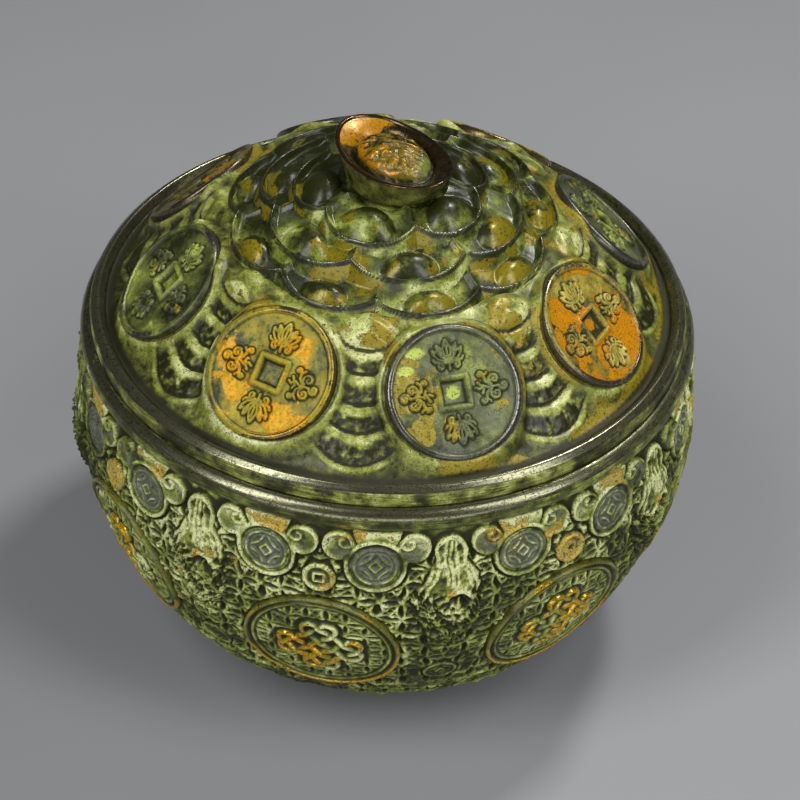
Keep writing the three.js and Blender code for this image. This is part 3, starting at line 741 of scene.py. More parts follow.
# ---------------------------------------------------------------- belly medallions
def knot(x, y):
    """An endless knot: four bands each way, woven over and under, joined in pairs by round loops. Height over the field and distance to the band."""
    p, q = (x + y) * 0.70711, (x - y) * 0.70711
    half, wide = 1.62, 0.66
    pitch, end = 2 * half, 3 * half + 0.55
    H = np.zeros_like(x)
    best = np.full(x.shape, 9.0)
    for flip in (0, 1):
        u, v = (p, q) if flip == 0 else (q, p)
        for i in range(4):
            d = np.where(np.abs(v) <= end, np.abs(u - (2 * i - 3) * half), 9.0)
            sign = 1.0 if (i + flip) % 2 else -1.0
            wave = 0.26 * sign * np.cos(np.pi * (v + 3 * half) / pitch)
            H = np.maximum(H, np.where(d < wide, ridge(d, wide, 0.85) + wave + 0.15, 0))
            best = np.minimum(best, d)
        for e in (-1, 1):
            for c in (-pitch, pitch):
                d = np.where(e * v >= end, np.abs(np.hypot(u - c, v - e * end) - half), 9.0)
                H = np.maximum(H, ridge(d, wide, 1.0))
                best = np.minimum(best, d)
    return H, best


def medallion_relief(x, y):
    d = np.hypot(x, y)
    ring = ridge(d - 14.5, 0.55, 0.85) + ridge(d - 13.2, 0.42, 0.5)
    H = 0.75 * smooth(15.15, 14.75, d) + ring
    w = (fbm(np.stack([x, y, 0 * x], -1), 3.0, 211, 2) - 0.5) * 1.2
    top, sd = knot(x, y)
    bare = smooth(1.1, 1.9, sd) * smooth(5.5, 7.5, np.maximum(np.abs(x + y), np.abs(x - y)) * 0.70711)
    H = H + coin_diaper(x + 0.4 + 0.5 * w, y - 0.5 * w, 3.6, 0.46, 0.62) * smooth(12.8, 12.1, d) * bare - 0.30 * smooth(12.8, 12.2, d)
    H = np.where(sd < 0.66, np.maximum(H, 0.45 + top), H)
    return H, sd, d


def make_medallion(i):
    turn = math.radians(BAY_TURN + 45.0 * i)
    rings = np.concatenate([np.linspace(0.35, 11.9, 54), np.linspace(12.1, 15.3, 20)])[::-1]
    cols = 300
    al = np.linspace(0, 2 * np.pi, cols, endpoint=False)[None]
    rho = rings[:, None]
    x, y = rho * np.cos(al), rho * np.sin(al)
    H, sd, d = medallion_relief(x, y)
    H = np.where(d > 15.2, -0.5, H)
    back = np.full((1, cols), -0.9)
    xb, yb = x[:1] * 0.97, y[:1] * 0.97
    X, Y, Hh = np.vstack([xb, x]), np.vstack([yb, y]), np.vstack([back, H])
    r, z, nr, nz = belly_at(S_OF_Z(35.2) - Y)
    ph = turn + X / r
    Hn = Hh + (fbm(np.stack([X, Y, 0 * X + 31.0 * i], -1), 1.6, 5, 2) - 0.5) * 0.22 * (Hh > 0)
    P = polar(r + nr * Hn, ph, z + nz * Hn)
    c = belly_at(np.array(S_OF_Z(35.2)))
    hub = lambda h: tuple(np.ravel(polar(np.array([c[0] + c[2] * h]), np.array([turn]), np.array([c[1] + c[3] * h]))))
    conv = (Hn - blur(Hn, 3.0, 2.2, True)) / 0.3
    spots = fbm(P, 4.0, 41, 3)
    stroke = smooth(0.9, 0.55, np.vstack([sd[:1], sd]))
    edge = smooth(12.9, 13.4, np.vstack([d[:1], d]))
    # low: along the lower edge of the rim the gilding is brighter and less bare metal shows; partly gilding, partly a
    # painted reflection of the pale floor
    low = smooth(2.0, -11.0, Y)
    wear = fbm(P, 7.0, 43, 3)
    DD = np.vstack([d[:1], d])
    gold = -0.2 + stroke * (0.47 + 1.5 * (wear - 0.5) + 0.9 * (spots - 0.5) + 0.35 * np.clip(conv, -1, 1)) + smooth(14.0, 14.4, DD) * smooth(15.1, 14.8, DD) * (0.24 + 1.0 * low + 1.2 * (wear - 0.5)) + 0.25 * edge
    lime = 0.31 + 0.68 * np.clip(conv, -1, 1) + 0.9 * (spots - 0.5) - 0.40 * edge + 0.18 * stroke
    # painted shade in the hollows of the relief
    deep = np.clip(-0.8 * conv, 0, 1)
    dark = -0.10 + (0.36 - 0.30 * low) * edge + 0.4 * (0.5 - spots)
    olive = -0.3 + 0.82 * edge
    zero = 0 * lime
    ob = lathe(f"belly_medallion_{i + 1}", P, dict(lime=lime, deep=deep, dark=dark, gold=gold, band=zero, prof=zero, steel=olive), hub(-0.9), hub(0.9))
    return dress(ob, "gilt_medallion", "bowl", f"bowl_medallion_{i + 1}")


for i in range(BAYS):
    make_medallion(i)


# ---------------------------------------------------------------- lid
def coin_frame(i):
    """Middle of the coin's face, its right, its up and its outward direction."""
    f = math.radians(COIN_TURN + 45.0 * i)
    t = math.radians(90.0 - 42.0)
    out = np.array([math.sin(f), -math.cos(f), 0.0])
    side = np.array([math.cos(f), math.sin(f), 0.0])
    nrm = out * math.cos(t) + np.array([0, 0, math.sin(t)])
    up = np.cross(nrm, side)
    return 43.5 * out + np.array([0, 0, 84.1]), side, up, nrm


def string_relief(a, r):
    """The overlapped coins between two large ones, like tiles on a ridge, under a smooth lozenge. a across, r plan radius."""
    q = r + a * a / 20.0
    aa = np.sqrt(a * a + 0.5)
    tread = np.zeros_like(r)
    face = np.zeros_like(r)
    line = np.zeros_like(r)
    w = 7.0 * smooth(29.0, 35.6, r) + 0.4
    edge = smooth(w + 1.2, w - 2.4, aa)
    H = np.where(q < 36.4, (0.40 + 0.35 * smooth(36.5, 34.6, q)) * edge * (1 - 0.25 * (aa / 7.0) ** 2), 0)
    # the lozenge is ridged like a roof: a flat diamond under two sloping facets
    eave = r - 33.2 - 0.52 * aa
    H = np.where(q < 36.4, H + 0.26 * edge * smooth(-0.7, 0.7, eave), H)
    tread = np.where(q < 36.4, edge * (0.55 + 0.65 * smooth(-0.5, 0.5, eave)), tread)
    line = np.where(q < 36.4, np.maximum(ridge(q - 36.35, 0.30, 1.0), 0.34 * ridge(eave + 0.25, 0.34, 1.0) * smooth(5.0, 2.5, aa)) * edge, line)
    for start, lip, end, w in ((36.4, 37.7, 39.6, 6.2), (39.6, 41.0, 43.7, 6.2), (43.7, 45.2, 47.4, 6.4), (47.4, 48.8, 52.0, 7.7)):
        on = (q >= start) & (q < end)
        x = (q - start) / (lip - start)
        y = (q - lip) / (end - lip)
        h = np.where(y < 0, 0.28 + 0.60 * smooth(-0.25, 0.8, x), 0.88 - 0.50 * np.clip(y, 0, 1) ** 1.4)
        edge = smooth(w + 0.5, w - 0.6, aa)
        t = smooth(0.25, -0.10, y)
        H = np.where(on, h * edge, H)
        tread = np.where(on, t * edge, tread)
        face = np.where(on, (1 - t) * edge, face)
        line = np.where(on, np.maximum(ridge(q - end, 0.34, 1.0), 0.8 * ridge(q - start, 0.22, 1.0)) * edge, line)
    lip = ridge(q - 52.75, 0.75, 1.0) * smooth(8.3, 7.0, aa)
    H = np.maximum(H, 0.42 * lip)
    tread = np.maximum(tread, 0.8 * lip * (q > 52.1))
    reeds = 0.5 + 0.5 * np.sin(2 * np.pi * a / 0.85)
    return H + 0.05 * face * (reeds - 0.5) - 0.30 * line, tread, face, line


def make_lid():
    n = 128 * BAYS
    edge = through([(58.2, 71.0), (58.35, 71.8), (58.35, 73.3), (58.1, 73.95), (57.55, 74.45), (57.0, 74.85), (56.5, 74.85), (55.9, 74.0), (55.3, 73.2)], 0.2)
    flank = through([(55.3, 73.2), (54.6, 73.1), (53.2, 73.6), (51, 75.0), (48, 77.5), (44, 81.2), (40, 84.9), (36, 88.3), (33, 90.4), (31, 91.3)], 0.32)
    crown = even(np.array([(31, 91.3), (20, 94.3), (2.9, 96.1)]), 2.0)
    bore = np.array([(2.8, 96.0), (2.8, 94.0)])
    ceil = through([(2.9, 93.9), (20, 91.9), (31.5, 88.3), (42.4, 78.9), (47.6, 74.2), (52.35, 71.6)], 1.6)
    flange = np.array([(52.4, 71.0), (52.4, 65.5), (52.7, 65.2), (53.8, 65.2), (54.3, 65.35), (54.55, 65.8), (54.6, 71.0), (55.6, 71.0), (57.6, 71.0)])
    prof = joined(edge, flank, crown, bore, ceil, flange)
    nrm = profile_normals(prof)
    m0, m1 = len(edge), len(edge) + len(flank) - 1
    phi = np.radians(COIN_TURN + 22.5 + 360.0 * (np.arange(n) + 0.5) / n)
    base = polar(prof[:, :1] + 0 * phi[None], phi[None] + 0 * prof[:, :1], prof[:, 1:])
    r = prof[:, :1] + 0 * phi[None]
    rel = (np.degrees(phi) - COIN_TURN - 22.5) % 45.0
    rel = np.where(rel > 22.5, rel - 45.0, rel)[None]
    a = np.radians(rel) * r
    H = np.zeros_like(r)
    h, tread, face, line = string_relief(a, r)
    rows = np.arange(len(prof))[:, None] + 0 * a
    on = (rows >= m0) & (rows < m1)
    H = np.where(on, h, 0)
    # raised collar round each coin
    c, side, up, cn = coin_frame(0)
    relc = (np.degrees(phi) - COIN_TURN + 22.5) % 45.0 - 22.5
    pc = polar(r, np.radians(relc + COIN_TURN)[None] + 0 * r, prof[:, 1:])
    dx, dy = (pc - c) @ side, (pc - c) @ up
    dc = np.hypot(dx, dy)
    wide = 0.95 + 1.1 * smooth(-3.0, -11.0, dy)
    collar = np.where(dc < 12.9, 1.0, np.exp(-(((dc - 12.9) / wide) ** 2))) * smooth(13.5, 10.0, dy)
    collar = np.where(on, collar, 0)
    H = smax(H, 2.05 * collar, 0.25) - 0.0625
    H = np.where(on, H - 1.5 * smooth(12.3, 11.5, dc), 0)
    H = H + np.where(on, 1.1 * smooth(38.5, 34.0, r) * smooth(11.5, 12.5, dc), 0)
    clear = 1 - np.clip(collar, 0, 1)
    tread, face, line = tread * clear, face * clear, line * clear
    rough_face = (fbm(base, 0.9, 61, 2) - 0.5) * 0.6 * face + (fbm(base, 4.0, 62, 2) - 0.5) * 0.22
    H = H + np.where(on, rough_face * smooth(54.8, 53.2, r), 0)
    P = polar(r + nrm[:, :1] * H, phi[None] + 0 * H, prof[:, 1:] + nrm[:, 1:] * H)
    conv = (H - blur(H, 3.0, 3.0, True)) / 0.3
    patch = fbm(base, 13.0, 71, 3)
    spots = fbm(base, 3.6, 73, 3)
    x, y = P[..., 0], P[..., 1]
    warm = smooth(-45.0, 40.0, x)
    old = smooth(-6.0, -44.0, x) * smooth(-34.0, 6.0, y) + 0.5 * smooth(20.0, 46.0, y)  # painted shade: darker towards the back and the back left
    collar = collar * smooth(11.9, 12.4, dc)
    crumbs = fbm(base, 1.0, 75, 2)
    upper = smooth(39.0, 35.5, r)
    # sink: the low flank next to the ridge is made darker, with more bare metal and less lime and gold, as painted
    # shade; towards the right it takes mustard patina instead
    sink = smooth(50.0, 54.6, r)
    lime = 0.36 + 0.42 * tread + 0.34 * collar * (1 - 0.5 * warm) + 0.14 * upper - 0.08 * sink - 0.30 * old + face * (2.4 * (crumbs - 0.5) - 0.34)
    lime = np.where(on, lime + 0.10 * np.clip(conv, -1, 1) + 0.9 * (patch - 0.5) + 0.5 * (spots - 0.5), 0)
    gold = 0.16 + 0.24 * collar * (0.2 + 0.9 * warm) - 0.22 * tread * (1 - upper) - 0.12 * face + 0.10 * upper + 0.12 * (warm - 0.4) - 0.25 * sink * (1 - 0.9 * warm) + 0.42 * sink * smooth(0.50, 0.90, warm)
    gold = np.where(on, gold + 1.5 * (fbm(base, 7.0, 77, 2) - 0.5) + 0.5 * (spots - 0.5) - 0.3 * line, 0)
    dark = np.where(on, -0.15 + 0.25 * face + 0.18 * sink * (1.1 - warm) + 0.6 * (0.5 - patch), 0.6)
    # painted shade in the hollows, in the dark lines between the overlapped coins and on their lower faces
    deep = np.where(on, np.clip(-0.55 * conv - 0.08 + 0.95 * line + 0.15 * face, 0, 1), 0)
    steel = np.where(on, -0.04 + 0.36 * face + 0.04 * sink * (1 - warm) - 0.16 * warm + 0.8 * (0.5 - spots), 0)
    z = prof[:, 1:] + 0 * H
    is_edge = rows < m0
    green_band = smooth(74.25, 73.7, z) * smooth(57.0, 57.6, r)
    lime = np.where(is_edge, 0.33 * green_band + 1.4 * (spots - 0.5) + 0.8 * (patch - 0.5), lime)
    dark = np.where(is_edge, 0.95 - 0.95 * green_band - 0.34 * smooth(18.0, 56.0, x) * (1 - green_band) + 0.5 * (spots - 0.5), dark)
    steel = np.where(is_edge, 0.0, steel)
    # painted shade in the cavetto behind the rim ridge
    deep = np.where(is_edge, 0.75 * smooth(55.9, 55.35, r) * smooth(74.0, 73.4, z), deep)
    # painted shade in the gap round each coin and at the foot of the ridge
    gap = smooth(12.2, 12.4, dc) * smooth(12.95, 12.65, dc)
    deep = np.where(on, np.maximum(deep, np.maximum(0.95 * smooth(52.9, 54.2, r), 0.75 * gap * smooth(10.5, 8.0, dy))), deep)
    gold = np.where(is_edge, -0.12 + 0.46 * smooth(24.0, 56.0, x) * smooth(-30.0, 0.0, y) + 1.0 * (patch - 0.5), gold)
    inner = rows >= m1
    # painted shade inside the lid
    lime, gold, deep = np.where(inner, 0.0, lime), np.where(inner, 0.0, gold), np.where(inner, 0.15, deep)
    band = np.where(is_edge, 1.0, np.where(inner, 0.6, 0.0))
    arc = np.concatenate([[0], np.cumsum(np.hypot(*np.diff(prof, axis=0).T))])[:, None] + 0 * H
    ob = lathe("lid_body", P, dict(lime=lime, deep=deep, dark=dark, gold=gold, band=band, prof=arc, steel=steel), closed=True)
    return dress(ob, "lid_bronze", "lid", "lid_shell")


make_lid()


# ---------------------------------------------------------------- lid coins
def lotus():
    """An open lotus with scrolled leaves, about 5.5 mm wide, growing outwards."""
    out = [[(0, -1.3), (-0.62, -0.2), (-0.72, 0.8), (-0.4, 1.7), (0, 2.4), (0.4, 1.7), (0.72, 0.8), (0.62, -0.2), (0, -1.3)], [(0, -0.4), (0.05, 1.4)]]
    for sx in (-1, 1):
        out.append([(sx * 0.3, -1.3), (sx * 1.25, -0.5), (sx * 1.75, 0.5), (sx * 1.8, 1.5), (sx * 1.15, 1.0), (sx * 0.85, 0.35)])
        out.append([(sx * 0.6, -1.5), (sx * 1.8, -1.0), (sx * 2.5, -0.1), (sx * 2.75, 0.8), (sx * 2.0, 0.35)])
        out.append([(sx * 1.15, -0.15), (sx * 1.4, 0.75)])
        out.append([(sx * 0.1, -1.7)] + [(sx * a, b) for a, b in spiral(1.35, -2.25, 0.85, 0.15, 150, -250, 18)])
        out.append([(sx * 1.9, -1.5), (sx * 2.5, -1.35), (sx * 2.75, -0.9)])
    out.append([(0, -1.4), (0.06, -2.9)])
    return out


def cloudlet():
    """Small scrolls with a tail."""
    out = []
    for sx in (-1, 1):
        out.append([(sx * a, b) for a, b in spiral(1.3, 0.45, 1.1, 0.15, -150, 330, 24)])
        out.append([(sx * 0.3, -0.5), (sx * 1.0, -1.2), (sx * 2.0, -1.35), (sx * 2.6, -0.75)])
        out.append([(sx * a, b) for a, b in spiral(2.35, -2.0, 0.6, 0.1, 120, -260, 16)])
    out.append(spiral(0.05, 2.0, 0.9, 0.12, -90, 420, 22))
    out.append([(0, 0.9), (0.12, -0.9), (-0.35, -1.8), (0.25, -2.5), (-0.1, -3.1)])
    out.append([(-1.0, -2.6), (-0.4, -2.2), (0.3, -1.7), (1.0, -2.0)])
    return out


COIN_SPIN = [0.5, -1.0, 1.5, 2.0, -2.5, 1.0, 2.0, -0.5]
COIN_SLOT = {1: "coin_green", 2: "coin_orange", 3: "coin_green", 4: "coin_gilt", 5: "coin_green", 6: "coin_olive", 7: "coin_green", 8: "coin_gilt"}
COIN_GOLD = {1: 0.12, 2: 0.52, 3: 0.16, 4: 0.42, 5: 0.2, 6: 0.34, 7: 0.02, 8: 0.50}
COIN_LIME = {1: 0.34, 2: 0.40, 3: 0.30, 4: 0.36, 5: 0.3, 6: 0.3, 7: 0.34, 8: 0.36}
COIN_GREY = {1: 0.26, 3: 0.34, 5: 0.30}
COIN_RIM = {1: 0.62, 2: 0.55, 3: 0.6, 4: 0.42, 5: 0.6, 6: 0.5, 7: 0.34, 8: 0.36}


# where the patina of a coin stands out: middle, half sizes, and what they add to green, gilding and grey
COIN_PATCH = {
    1: [(-5.9, 7.9, 2.3, 1.3, 0.75, -0.5, -0.6), (-8.2, 5.0, 2.0, 1.2, 0.75, -0.5, -0.6), (-7.0, -6.4, 2.4, 3.0, 0.1, 0.5, -0.3), (7.8, -3.9, 3.0, 2.1, 0.1, 0.5, -0.3), (6.4, -8.6, 1.8, 1.6, 0.1, 0.4, -0.2), (0.0, 0.2, 1.5, 1.5, 0.6, -0.5, -0.7)],
    2: [(-5.5, 6.2, 4.0, 3.6, 0.0, 0.35, 0.0), (6.8, -4.0, 3.0, 4.0, 0.0, 0.3, 0.0), (0.0, 0.0, 1.6, 1.6, 0.0, 0.5, 0.0), (0.5, -8.4, 4.0, 2.4, 0.1, -0.4, 0.0), (4.0, 6.6, 3.2, 3.0, 0.1, -0.35, 0.0), (-4.6, -1.6, 2.2, 3.0, 0.1, -0.3, 0.0), (8.2, 3.4, 3.0, 4.2, 0.1, -0.45, 0.0)],
    8: [(4.2, -6.9, 4.2, 3.0, 0.1, 0.55, -0.3), (-5.6, -5.4, 3.3, 2.4, 0.1, 0.5, -0.3), (3.6, 6.2, 2.6, 2.6, 0.1, 0.35, -0.3), (-8.6, 0.6, 1.8, 2.6, 0.1, 0.3, -0.2),
        (-3.7, 7.9, 3.8, 2.6, -0.42, -0.7, 0.2), (7.6, 6.8, 2.4, 2.6, -0.25, -0.5, 0.1), (-8.4, -7.2, 2.4, 3.2, -0.36, -0.7, 0.2), (9.2, -2.4, 1.8, 3.2, -0.2, -0.5, 0.1)],
}


def coin_relief(x, y):
    d = np.hypot(x, y)
    rim = 0.62 * smooth(11.05, 11.45, d) * np.sqrt(np.clip(1 - ((d - 11.6) / 0.82) ** 2, 0, 1) * (d > 11.6) + (d <= 11.6))
    sq = box_sdf(x, y, 2.75, 2.75, 0.25)
    H = rim + ridge(sq, 0.62, 0.55) - 0.75 * smooth(-0.35, -0.8, sq)
    best = np.full(x.shape, 9.0)
    for k, motif in enumerate((lotus(), cloudlet(), lotus(), cloudlet())):
        an = math.radians(90 * k)
        # local frame with its up pointing away from the middle
        ux, uy = math.sin(an), math.cos(an)
        lx, ly = x * uy - y * ux, x * ux + y * uy - 7.15
        near = (np.abs(lx) < 3.6) & (np.abs(ly) < 3.8)
        for st in motif:
            dd = np.where(near, line_dist(lx, ly, st), 9.0)
            best = np.minimum(best, dd)
    H = H + ridge(best, 0.30, 0.5) - 0.14 * smooth(0.8, 0.38, best) * (best > 0.30)
    return H, d, sq, best


def make_coin(k):
    c, side, up, nrm = coin_frame(k - 1)
    sp = math.radians(COIN_SPIN[k - 1])
    ex, ey = side * math.cos(sp) + up * math.sin(sp), -side * math.sin(sp) + up * math.cos(sp)
    rings = np.concatenate([np.linspace(0.3, 10.3, 46), np.linspace(10.5, 12.42, 14)])[::-1]
    cols = 288
    al = np.linspace(0, 2 * np.pi, cols, endpoint=False)[None]
    rho = rings[:, None]
    x, y = rho * np.cos(al), rho * np.sin(al)
    H, d, sq, best = coin_relief(x, y)
    H = H + (fbm(np.stack([x, y, 0 * x + 13.7 * k], -1), 2.6, 81, 3) - 0.5) * 0.3 * (d < 11)
    H = np.where(d > 12.3, 0.1, H)
    xb = np.vstack([x[:1] * 0.93, x[:1] * 0.985, x[:1] * 1.005])
    yb = np.vstack([y[:1] * 0.93, y[:1] * 0.985, y[:1] * 1.005])
    hb = np.vstack([np.full((1, cols), v) for v in (-3.0, -2.2, -0.5)])
    X, Y, Hh = np.vstack([xb, x]), np.vstack([yb, y]), np.vstack([hb, H])
    P = c + X[..., None] * ex + Y[..., None] * ey + Hh[..., None] * nrm
    D, SQ, B = (np.vstack([np.repeat(q[:1], 3, 0), q]) for q in (d, sq, best))
    conv = (Hh - blur(Hh, 3.0, 2.0, True)) / 0.22
    conv[:4] = 0
    local = np.stack([X, Y, 0 * X + 41.0 * k], -1)
    patch = fbm(local, 8.5, 91, 3)
    spots = fbm(local, 2.6, 93, 3)
    rim = smooth(11.1, 11.4, D)
    wall = smooth(12.2, 12.4, D)
    # the groove round each raised stroke; it is darkened below as painted shade
    stroke_groove = smooth(0.75, 0.42, B) * smooth(0.22, 0.36, B)
    tone = fbm(local, 9.0, 97, 2)
    gold = COIN_GOLD[k] + 1.7 * (patch - 0.5) + 1.0 * (spots - 0.5) - (0.15 if k in (4, 8) else 0.5) * rim - 0.3 * smooth(0.2, -0.4, SQ) - (0.30 if k == 2 else -0.10) * smooth(0.45, 0.2, B)
    lime = COIN_LIME[k] + (0.14 if k == 1 else 0.30) * np.clip(conv, -1, 1) + 1.7 * (tone - 0.5) + 0.8 * (spots - 0.5)
    dark = -0.15 + rim * (COIN_RIM[k] + 0.15 + 1.4 * (tone - 0.5)) + 0.15 * stroke_groove + 0.3 * (0.5 - spots) + 0.3 * wall
    grey = COIN_GREY.get(k, -0.2) + 1.8 * (fbm(local, 7.0, 99, 2) - 0.5) - (0.15 if k == 1 else 0.5) * np.clip(conv, 0, 1)
    for px, py, ax, ay, dl, dg, ds in COIN_PATCH.get(k, ()):
        spot = np.clip(1.25 - 1.25 * (((X - px) / ax) ** 2 + ((Y - py) / ay) ** 2), 0, 1)
        lime, gold, grey = lime + dl * spot, gold + dg * spot, grey + ds * spot
    # painted shade in the hollows and in the grooves round the strokes
    deep = np.clip(-0.8 * conv, 0, 1) * 0.8 + 0.45 * stroke_groove
    zero = 0 * lime
    hub = lambda h: tuple(c + nrm * h)
    ob = lathe(f"cash_coin_{k}", P, dict(lime=lime, deep=deep, dark=dark, gold=gold, band=zero, prof=zero, steel=grey), hub(-3.0), hub(float(Hh[-1].mean())))
    return dress(ob, COIN_SLOT[k], "lid", f"lid_coin_{k}")


for k in range(1, 9):
    make_coin(k)


# ---------------------------------------------------------------- ingot heap
TIERS = [
    # turns, lip radius and height, egg radius and height, depth of the cusps, egg half sizes and rise
    ([-83.9, -19.0, 51.4, 115.1, 196.0], 18.7, 99.4, 14.2, 101.4, 3.2, (6.0, 4.2, 2.3)),
    ([-105.0, -47.5, 10.2, 65.1, 122.0, 180.0], 25.5, 96.5, 21.6, 97.7, 2.8, (5.5, 3.5, 2.0)),
    ([-104.0, -63.0, -24.8, 15.3, 54.2, 94.0, 134.0, 174.0, 214.0], 31.7, 93.45, 28.5, 94.1, 2.5, (5.0, 2.9, 1.8)),
]


def tier_field(x, y, turns, rl, zl, rd, zd, dc, egg_size):
    """One ring of boat ingots lying side by side: raised lip in scallops, hollow, egg in the middle, hull under the lip."""
    r = np.hypot(x, y)
    phi = np.degrees(np.arctan2(x, -y))
    n = len(turns)
    t = np.full(r.shape, 9.0)
    d_own = np.zeros_like(r)
    own = np.zeros_like(r)
    for i, f in enumerate(turns):
        gl = (f - turns[i - 1]) % 360.0
        gr = (turns[(i + 1) % n] - f) % 360.0
        d = (phi - f + 180.0) % 360.0 - 180.0
        ti = np.where(d > 0, d / (gr / 2), d / (gl / 2))
        win = np.abs(ti) < np.abs(t)
        t, d_own, own = np.where(win, ti, t), np.where(win, d, d_own), np.where(win, i, own)
    at = np.clip(np.abs(t), 0, 1)
    a = np.radians(d_own) * (rd + 1.0)
    R = rl - dc * at**2.3 + 0.12 * np.sin(own * 2.1)
    Zl = zl + (0.55 * dc) * at**2.6
    w = R - r
    ea, eb, eh = egg_size
    zt = zd - eh
    hollow = zt - 0.40 * (np.maximum(r, rd - 3.6) - rd) - 0.5 * np.clip(rd - 3.6 - r, 0, None) + 0.9 * at**2.5 + 0.5 * smooth(0.86, 1.0, at)
    z_in = hollow + (Zl - hollow) * (1 - smooth(0.0, 1.9, w)) ** 1.5
    z_in = z_in - 0.10 * smooth(0.26, 0.0, w)
    o = np.clip(-w, 0, None)
    z_out = Zl - 0.10 - 4.0 * np.minimum(o, 0.22) - 2.1 * np.clip(o - 0.22, 0, None)
    z = np.where(w >= 0, z_in, z_out)
    ed = np.hypot(a / ea, (r - rd) / eb)
    egg = (eh + 0.2) * np.clip(1 - ed**2, 0, 1) ** 0.95
    z = np.where((w > -0.1) & (ed < 1), np.maximum(z, zt - 0.40 * (r - rd) + egg), z) - np.where(w > 0, 0.13 * np.exp(-(((ed - 1.03) / 0.10) ** 2)), 0)
    lip = np.exp(-((w - 0.05) / np.where(w > 0.05, 0.26, 0.15)) ** 2)
    # under: the narrow band just below each lip, darkened in make_heap as a painted shadow under the lip
    under = smooth(-0.04, -0.14, w) * smooth(-0.34, -0.18, w)
    hull = smooth(-0.18, -0.40, w)
    on_egg = smooth(1.03, 0.9, ed) * (w > 0)
    return z, lip, on_egg, under, hull, smooth(0.3, 1.0, w) * smooth(0.95, 1.06, ed), on_egg * np.clip((r - rd) / eb, -1, 1), own


def ingot_field(x, y):
    """Heap height over the plan, and what each point belongs to."""
    r = np.hypot(x, y)
    Z = np.interp(r, [0, 6, 12, 20, 26, 30, 32.5, 33.5, 36.0], [101.2, 101.0, 98.0, 94.6, 91.8, 90.6, 89.6, 88.6, 86.5])
    marks = [np.zeros_like(Z) for _ in range(7)]
    for k, tier in enumerate(TIERS):
        z, *m = tier_field(x, y, *tier)
        m[-1] = m[-1] + 10.0 * k + 1.0
        win = z > Z
        Z = np.where(win, z, Z)
        marks = [np.where(win, q, old) for q, old in zip(m, marks)]
    return (Z, *marks)


def make_heap():
    cols = 900
    rings = np.concatenate([[0.6, 2.0], np.linspace(3.5, 34.6, 168)])[::-1]
    ph = np.linspace(0, 2 * np.pi, cols, endpoint=False)[None]
    rr = rings[:, None] + 0 * ph
    x, y = rr * np.sin(ph), -rr * np.cos(ph)
    Z, lip, egg, under, hull, trough, tilt, ident = ingot_field(x, y)
    p = np.stack([x, y, Z], -1)
    Z = Z + (fbm(p, 3.2, 101, 3) - 0.5) * 0.26 * (1 - 0.7 * lip)
    skirt = [(0.985, 86.2), (0.996, 86.8)]
    X = np.vstack([x[:1] * k for k, _ in skirt] + [x])
    Y = np.vstack([y[:1] * k for k, _ in skirt] + [y])
    ZZ = np.vstack([np.full((1, cols), v) for _, v in skirt] + [Z])
    ZZ[:2] = np.minimum(ZZ[:2], ZZ[2:3] - 0.3)
    P = np.stack([X, Y, ZZ], -1)
    ext = lambda q: np.vstack([np.repeat(q[:1], 2, 0), q])
    lip, egg, under, hull, trough, tilt, ident = (ext(q) for q in (lip, egg, under, hull, trough, tilt, ident))
    first = (ident > 0.5) & (ident < 10.0)
    conv = (ZZ - blur(ZZ, 3.0, 3.0, True)) / 0.45
    conv[:6] = 0
    shift = P + np.stack([19.0 * ident, 7.0 * ident, 0 * ident], -1)
    patch = fbm(shift, 5.6, 111, 2)
    spots = fbm(P, 2.2, 113, 3)
    big = fbm(P, 17.0, 117, 2)
    # old: painted shade, darker towards the left and back left of the heap
    old = smooth(4.0, -24.0, X) * smooth(-14.0, 8.0, Y)
    # painted shade on the upper, inner side of each egg (crown) and painted light on its lower, outer side (tilt)
    crown = egg * smooth(0.25, -0.6, tilt) * np.where(first, 1.0, 0.5)
    gold = 0.20 + egg * np.where(first, 0.06, 0.26) + 0.24 * tilt - 0.38 * old - 0.25 * crown + 0.26 * hull + 2.1 * (patch - 0.5) + 0.3 * (spots - 0.5) - 0.7 * lip - 0.6 * under
    lime = 0.21 + 0.04 * trough + 0.32 * hull - egg * np.where(first, 0.20, 0.0) + 0.22 * tilt + 1.9 * (fbm(shift, 4.0, 119, 2) - 0.5) + 0.8 * (spots - 0.5) + 0.6 * (big - 0.5) - 0.58 * old - 0.30 * crown
    dark = -0.15 + 0.86 * lip + 0.15 * under + 0.4 * (0.5 - spots) + 0.25 * (0.5 - big)
    steel = -0.04 + 0.38 * trough - 0.10 * egg + 1.3 * (fbm(shift, 6.0, 121, 2) - 0.5)
    # painted shade in the hollows, under the lips, on the egg tops and towards the left
    deep = np.clip(np.clip(-0.35 * conv, 0, 1) * 0.8 + 0.95 * under + 0.22 * crown + 0.24 * old, 0, 1)
    zero = 0 * lime
    ob = lathe("ingot_heap", P, dict(lime=lime, deep=deep, dark=dark, gold=gold, band=zero, prof=zero, steel=steel), (0, 0, 86.0), (0, 0, float(Z[-1].mean())))
    return dress(ob, "heap_bronze", "lid", "ingot_pile")


make_heap()


